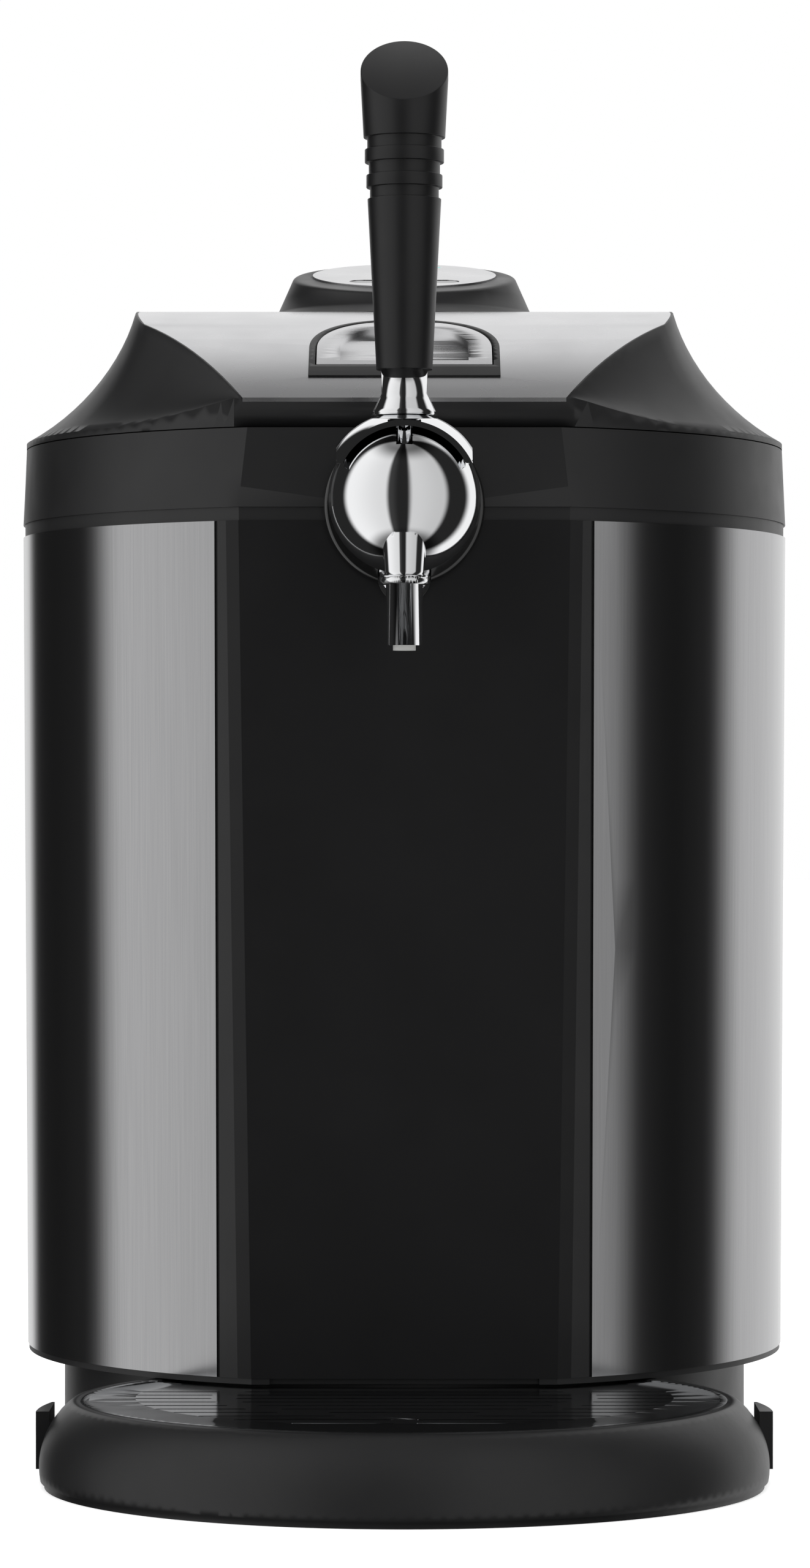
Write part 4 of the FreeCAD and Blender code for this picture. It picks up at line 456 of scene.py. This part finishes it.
class Form:
    """A mesh under construction, in millimetres until it is finished."""

    def __init__(self) -> None:
        """Start an empty form."""
        self.bm = bmesh.new()

    def lathe(self, profile: Sequence[tuple[float, float]], centre: Point, steps: int) -> None:
        """Turn a profile about an upright axis.

        Args:
            profile: Radius and height of each point.
            centre: A point on the axis.
            steps: Steps in the turn.
        """
        points = [self.bm.verts.new((centre[0] + radius, centre[1], centre[2] + z)) for radius, z in profile]
        edges = [self.bm.edges.new(pair) for pair in zip(points, points[1:])]
        bmesh.ops.spin(self.bm, geom=points + edges, cent=centre, axis=(0, 0, 1), angle=math.tau,
                       steps=steps, use_merge=True, use_duplicate=False)
        bmesh.ops.remove_doubles(self.bm, verts=self.bm.verts, dist=FORM_WELD)

    def slice(self, point: Point, normal: Point) -> None:
        """Cut away what is beyond a plane and close the cut.

        Args:
            point: A point on the plane.
            normal: Direction of the side that goes.
        """
        geometry = self.bm.verts[:] + self.bm.edges[:] + self.bm.faces[:]
        bmesh.ops.bisect_plane(self.bm, geom=geometry, plane_co=point, plane_no=normal, clear_outer=True)
        bmesh.ops.holes_fill(self.bm, edges=[edge for edge in self.bm.edges if edge.is_boundary], sides=0)

    def soften(self, offset: float, segments: int, angle: float = 25.0) -> None:
        """Round the sharp edges.

        Args:
            offset: Width of the rounding.
            segments: Segments across it.
            angle: Smallest turn that counts as sharp, in degrees.
        """
        limit = math.radians(angle)
        sharp = [edge for edge in self.bm.edges if edge.is_manifold and edge.calc_face_angle(0.0) > limit]
        bmesh.ops.bevel(self.bm, geom=sharp, offset=offset, offset_type="OFFSET", segments=segments,
                        profile=0.5, affect="EDGES", material=-1, clamp_overlap=True)

    def finish(self, name: str, smooth_angle: float) -> bpy.types.Object:
        """Turn the form into an object in metres.

        Args:
            name: Name of the piece.
            smooth_angle: Largest turn that is shaded smooth, in degrees.

        Returns:
            The piece.
        """
        bmesh.ops.recalc_face_normals(self.bm, faces=self.bm.faces)
        bmesh.ops.scale(self.bm, vec=(MM, MM, MM), verts=self.bm.verts)
        mesh = bpy.data.meshes.new(name)
        self.bm.to_mesh(mesh)
        self.bm.free()
        piece = bpy.data.objects.new(name, mesh)
        bpy.context.scene.collection.objects.link(piece)
        mesh.shade_smooth()
        mesh.set_sharp_from_angle(angle=math.radians(smooth_angle))
        return piece


def smooth_copy(node: str, body: str, angle: float, wardrobe: Wardrobe, slot: str) -> bpy.types.Object:
    """Replace a curved node with a welded copy that is shaded smooth.

    Args:
        node: Name of the node.
        body: Body that it rides on.
        angle: Largest turn that is shaded smooth, in degrees.
        wardrobe: The finishes.
        slot: Name of its material slot.

    Returns:
        The copy.
    """
    bm = bmesh.new()
    bm.from_mesh(frame["nodes"][node].data)
    bmesh.ops.remove_doubles(bm, verts=bm.verts, dist=COPY_WELD)
    mesh = bpy.data.meshes.new(node + "_smooth")
    bm.to_mesh(mesh)
    bm.free()
    mesh.shade_smooth()
    mesh.set_sharp_from_angle(angle=math.radians(angle))
    piece = bpy.data.objects.new(node + "_smooth", mesh)
    bpy.context.scene.collection.objects.link(piece)
    wardrobe.dress(piece, slot)
    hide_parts(node)
    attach(piece, body)
    return piece


@dataclass
class Handle:
    """Tall ringed handle with a slanted, flat top."""

    foot_r: float = 9.2
    cone_r: float = 12.1
    cone_h: float = 56.1
    rings: tuple[tuple[float, float], ...] = ((11.3, 3.6), (12.5, 4.2), (11.7, 4.0), (13.0, 4.4), (12.2, 3.8))
    head_r: float = 13.4
    max_r: float = 14.4
    max_h: float = 95.1
    front_drop: float = 8.5
    back_rise: float = 15.2
    spare: float = 4.0
    edge: float = 0.9
    edge_segments: int = 3
    steps: int = 72
    smooth_angle: float = 40.0

    def build(self, wardrobe: Wardrobe) -> bpy.types.Object:
        """Make the handle in place of its node.

        Args:
            wardrobe: The finishes.

        Returns:
            The piece.
        """
        low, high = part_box("tap_handle")
        centre = ((low[0] + high[0]) / 2.0 / MM, (low[1] + high[1]) / 2.0 / MM, low[2] / MM)
        profile = [(0.0, 0.0), (self.foot_r, 0.0), (self.cone_r, self.cone_h)]
        z = self.cone_h
        for radius, height in self.rings:
            profile.extend([(radius, z), (radius, z + height)])
            z += height
        top = self.max_h + self.back_rise + self.spare
        profile.extend([(self.head_r, z), (self.max_r, self.max_h), (self.max_r, top), (0.0, top)])
        form = Form()
        form.lathe(profile, centre, self.steps)
        slope = (self.back_rise + self.front_drop) / (2.0 * self.max_r)
        middle = self.max_h + (self.back_rise - self.front_drop) / 2.0
        form.slice((centre[0], centre[1], centre[2] + middle), (0.0, -slope, 1.0))
        form.soften(self.edge, self.edge_segments)
        piece = form.finish("tap_handle_grip", self.smooth_angle)
        wardrobe.dress(piece, "handle_black")
        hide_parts("tap_handle")
        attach(piece, "lever")
        return piece


@dataclass
class Casing:
    """The curved outside of the dispenser, welded and shaded smooth."""

    curved: dict[str, tuple[str, float]] = field(default_factory=lambda: {
        "tap_ball": ("dispenser", 30.0),
        "lever_saddle": ("lever", 30.0),
        "tap_nozzle": ("dispenser", 30.0),
        "shank_block": ("dispenser", 30.0),
        "tap_escutcheon": ("dispenser", 40.0),
        "lid_plate": ("lid", 28.0),
        "lid_shell": ("lid", 38.0),
        "collar": ("dispenser", 20.0),
        "steel_side_left": ("dispenser", 20.0),
        "steel_side_right": ("dispenser", 20.0),
        "drip_tray": ("tray", 30.0),
        "control_pad": ("lid", 40.0),
        "control_disc": ("lid", 30.0),
        "release_button": ("release", 30.0),
        "release_bezel": ("lid", 30.0),
        "nozzle_tip": ("dispenser", 30.0),
        "drip_plate": ("plate", 30.0),
        "tray_button_left": ("tray_release_left", 30.0),
        "tray_button_right": ("tray_release_right", 30.0),
    })

    def build(self, wardrobe: Wardrobe) -> list[bpy.types.Object]:
        """Make the smooth copies.

        Args:
            wardrobe: The finishes.

        Returns:
            The pieces.
        """
        slots = {row["node"]: row["material_slot"] for row in frame["record"]["subparts"]}
        return [smooth_copy(node, body, angle, wardrobe, slots[node])
                for node, (body, angle) in self.curved.items()]


@dataclass(frozen=True)
class Lamp:
    """Square soft lamp, which reflections don't show."""

    name: str
    place: Point
    size: float
    power: float

    def build(self, target: Point) -> None:
        """Hang the lamp.

        Args:
            target: Point that it faces.
        """
        data = bpy.data.lights.new(self.name, "AREA")
        data.size = self.size
        data.energy = self.power
        lamp = bpy.data.objects.new(self.name, data)
        lamp.location = self.place
        lamp.visible_glossy = False
        ahead = Vector(target) - Vector(self.place)
        lamp.rotation_euler = ahead.to_track_quat("-Z", "Y").to_euler()
        bpy.context.scene.collection.objects.link(lamp)


@dataclass
class Studio:
    """White studio with a camera at the photograph's viewpoint."""

    distance: float = 1.73475
    height: float = 0.226
    lens: float = 112.5
    sensor: float = 36.0
    shift: tuple[float, float] = (0.0004, 0.0098)
    clip: tuple[float, float] = (0.05, 60.0)
    floor_size: float = 12.0
    floor_colour: Colour = (0.84, 0.84, 0.84)
    floor_roughness: float = 0.8
    floor_gloss: float = 0.1
    floor_glow: float = 0.68
    around: tuple[tuple[float, float], ...] = (
        (-180.0, 1.0), (-158.0, 1.0), (-148.0, 0.02), (-108.0, 0.02), (-94.0, 1.0),
        (-30.0, 0.8), (-22.0, 0.05), (-8.0, 0.02), (4.0, 0.02), (14.0, 0.7),
        (62.0, 0.6), (74.0, 0.02), (104.0, 0.02), (122.0, 1.0), (180.0, 1.0))
    upward: tuple[tuple[float, float], ...] = (
        (-90.0, 0.15), (-64.0, 0.2), (-46.0, 1.0), (50.0, 1.0), (74.0, 0.22), (90.0, 0.35))
    target: Point = (0.0, 0.0, 0.22)
    lamps: tuple[Lamp, ...] = (
        Lamp("top", (0.0, -0.2, 2.4), 2.0, 22.0),
        Lamp("front", (-0.6, -2.6, 1.6), 1.8, 10.0),
    )

    def ramp(self, tree: bpy.types.NodeTree, value: bpy.types.NodeSocket,
             stops: Sequence[tuple[float, float]], low: float, high: float) -> bpy.types.NodeSocket:
        """Read a brightness off a list of angles.

        Args:
            tree: Node tree of the world.
            value: Socket with an angle in radians.
            stops: Angles in degrees with their brightness.
            low: Lowest angle.
            high: Highest angle.

        Returns:
            The socket with the brightness.
        """
        scaled = tree.nodes.new("ShaderNodeMapRange")
        scaled.inputs["From Min"].default_value = math.radians(low)
        scaled.inputs["From Max"].default_value = math.radians(high)
        tree.links.new(value, scaled.inputs["Value"])
        ramp = tree.nodes.new("ShaderNodeValToRGB")
        ramp.color_ramp.interpolation = "EASE"
        elements = ramp.color_ramp.elements
        while len(elements) < len(stops):
            elements.new(0.5)
        for element, (angle, bright) in zip(elements, stops):
            element.position = (angle - low) / (high - low)
            element.color = (bright, bright, bright, 1.0)
        tree.links.new(scaled.outputs["Result"], ramp.inputs["Fac"])
        return ramp.outputs["Color"]

    def operate(self, tree: bpy.types.NodeTree, kind: str, first: bpy.types.NodeSocket,
                second: float = 0.0) -> bpy.types.NodeSocket:
        """Add a math node.

        Args:
            tree: Node tree of the world.
            kind: Operation.
            first: First socket.
            second: Second number, where the operation takes one.

        Returns:
            The socket with the result.
        """
        node = tree.nodes.new("ShaderNodeMath")
        node.operation = kind
        tree.links.new(first, node.inputs[0])
        node.inputs[1].default_value = second
        return node.outputs[0]

    def world(self) -> None:
        """Surround the object with soft boxes and dark gaps, and a white ground for the camera."""
        world = bpy.data.worlds.new("studio")
        bpy.context.scene.world = world
        world.use_nodes = True
        tree = world.node_tree
        ground = tree.nodes["Background"]
        source = tree.nodes.new("ShaderNodeTexCoord")
        split = tree.nodes.new("ShaderNodeSeparateXYZ")
        tree.links.new(source.outputs["Generated"], split.inputs[0])
        forward = self.operate(tree, "MULTIPLY", split.outputs["Y"], -1.0)
        azimuth = self.operate(tree, "ARCTAN2", split.outputs["X"])
        tree.links.new(forward, azimuth.node.inputs[1])
        elevation = self.operate(tree, "ARCSINE", split.outputs["Z"])
        around = self.ramp(tree, azimuth, self.around, -180.0, 180.0)
        upward = self.ramp(tree, elevation, self.upward, -90.0, 90.0)
        bright = tree.nodes.new("ShaderNodeMix")
        bright.data_type = "RGBA"
        bright.blend_type = "MULTIPLY"
        bright.inputs["Factor"].default_value = 1.0
        tree.links.new(around, bright.inputs["A"])
        tree.links.new(upward, bright.inputs["B"])
        path = tree.nodes.new("ShaderNodeLightPath")
        seen = tree.nodes.new("ShaderNodeMix")
        seen.data_type = "RGBA"
        tree.links.new(path.outputs["Is Camera Ray"], seen.inputs["Factor"])
        tree.links.new(bright.outputs["Result"], seen.inputs["A"])
        seen.inputs["B"].default_value = WHITE
        tree.links.new(seen.outputs["Result"], ground.inputs["Color"])
        ground.inputs["Strength"].default_value = 1.0

    def floor(self) -> None:
        """Lay a pale floor that stays white to the camera apart from the shadow, and that mirrors miss."""
        bm = bmesh.new()
        bmesh.ops.create_grid(bm, x_segments=1, y_segments=1, size=self.floor_size)
        mesh = bpy.data.meshes.new("floor")
        bm.to_mesh(mesh)
        bm.free()
        plane = bpy.data.objects.new("floor", mesh)
        bpy.context.scene.collection.objects.link(plane)
        shader = Shader("floor_white", self.floor_colour, self.floor_roughness)
        path = shader.add("ShaderNodeLightPath")
        glow = shader.add("ShaderNodeMath", operation="MULTIPLY")
        glow.inputs[1].default_value = self.floor_glow
        shader.link(path.outputs["Is Camera Ray"], glow.inputs[0])
        clear = shader.add("ShaderNodeBsdfTransparent")
        mixed = shader.add("ShaderNodeMixShader")
        shader.link(path.outputs["Is Glossy Ray"], mixed.inputs["Fac"])
        shader.link(shader.main.outputs["BSDF"], mixed.inputs[1])
        shader.link(clear.outputs["BSDF"], mixed.inputs[2])
        surface = shader.tree.nodes["Material Output"].inputs["Surface"]
        shader.link(mixed.outputs["Shader"], surface)
        shader.main.inputs["Emission Color"].default_value = WHITE
        shader.main.inputs["Specular IOR Level"].default_value = self.floor_gloss
        shader.link(glow.outputs[0], shader.main.inputs["Emission Strength"])
        mesh.materials.append(shader.material)

    def camera(self) -> None:
        """Set the camera at the photograph's viewpoint."""
        data = bpy.data.cameras.new("camera")
        data.lens = self.lens
        data.sensor_fit = "VERTICAL"
        data.sensor_height = self.sensor
        data.shift_x, data.shift_y = self.shift
        data.clip_start, data.clip_end = self.clip
        view = bpy.data.objects.new("camera", data)
        place = Matrix.Translation((0.0, -self.distance, self.height))
        view.matrix_world = place @ Matrix.Rotation(math.pi / 2, 4, "X")
        bpy.context.scene.collection.objects.link(view)
        bpy.context.scene.camera = view

    def build(self) -> None:
        """Set up the camera, world, floor and lamps."""
        bpy.context.scene.view_settings.view_transform = "Standard"
        self.camera()
        self.world()
        self.floor()
        for lamp in self.lamps:
            lamp.build(self.target)


def main() -> None:
    """Dress the frame and build the new pieces."""
    logging.basicConfig(level=logging.INFO, format="%(message)s")
    wardrobe = Wardrobe()
    wardrobe.dress_nodes()
    pieces = Casing().build(wardrobe)
    pieces.append(Handle().build(wardrobe))
    for piece in pieces:
        LOG.info("%s: %d faces", piece.name, len(piece.data.polygons))
    Studio().build()


if __name__ == "__main__":
    main()
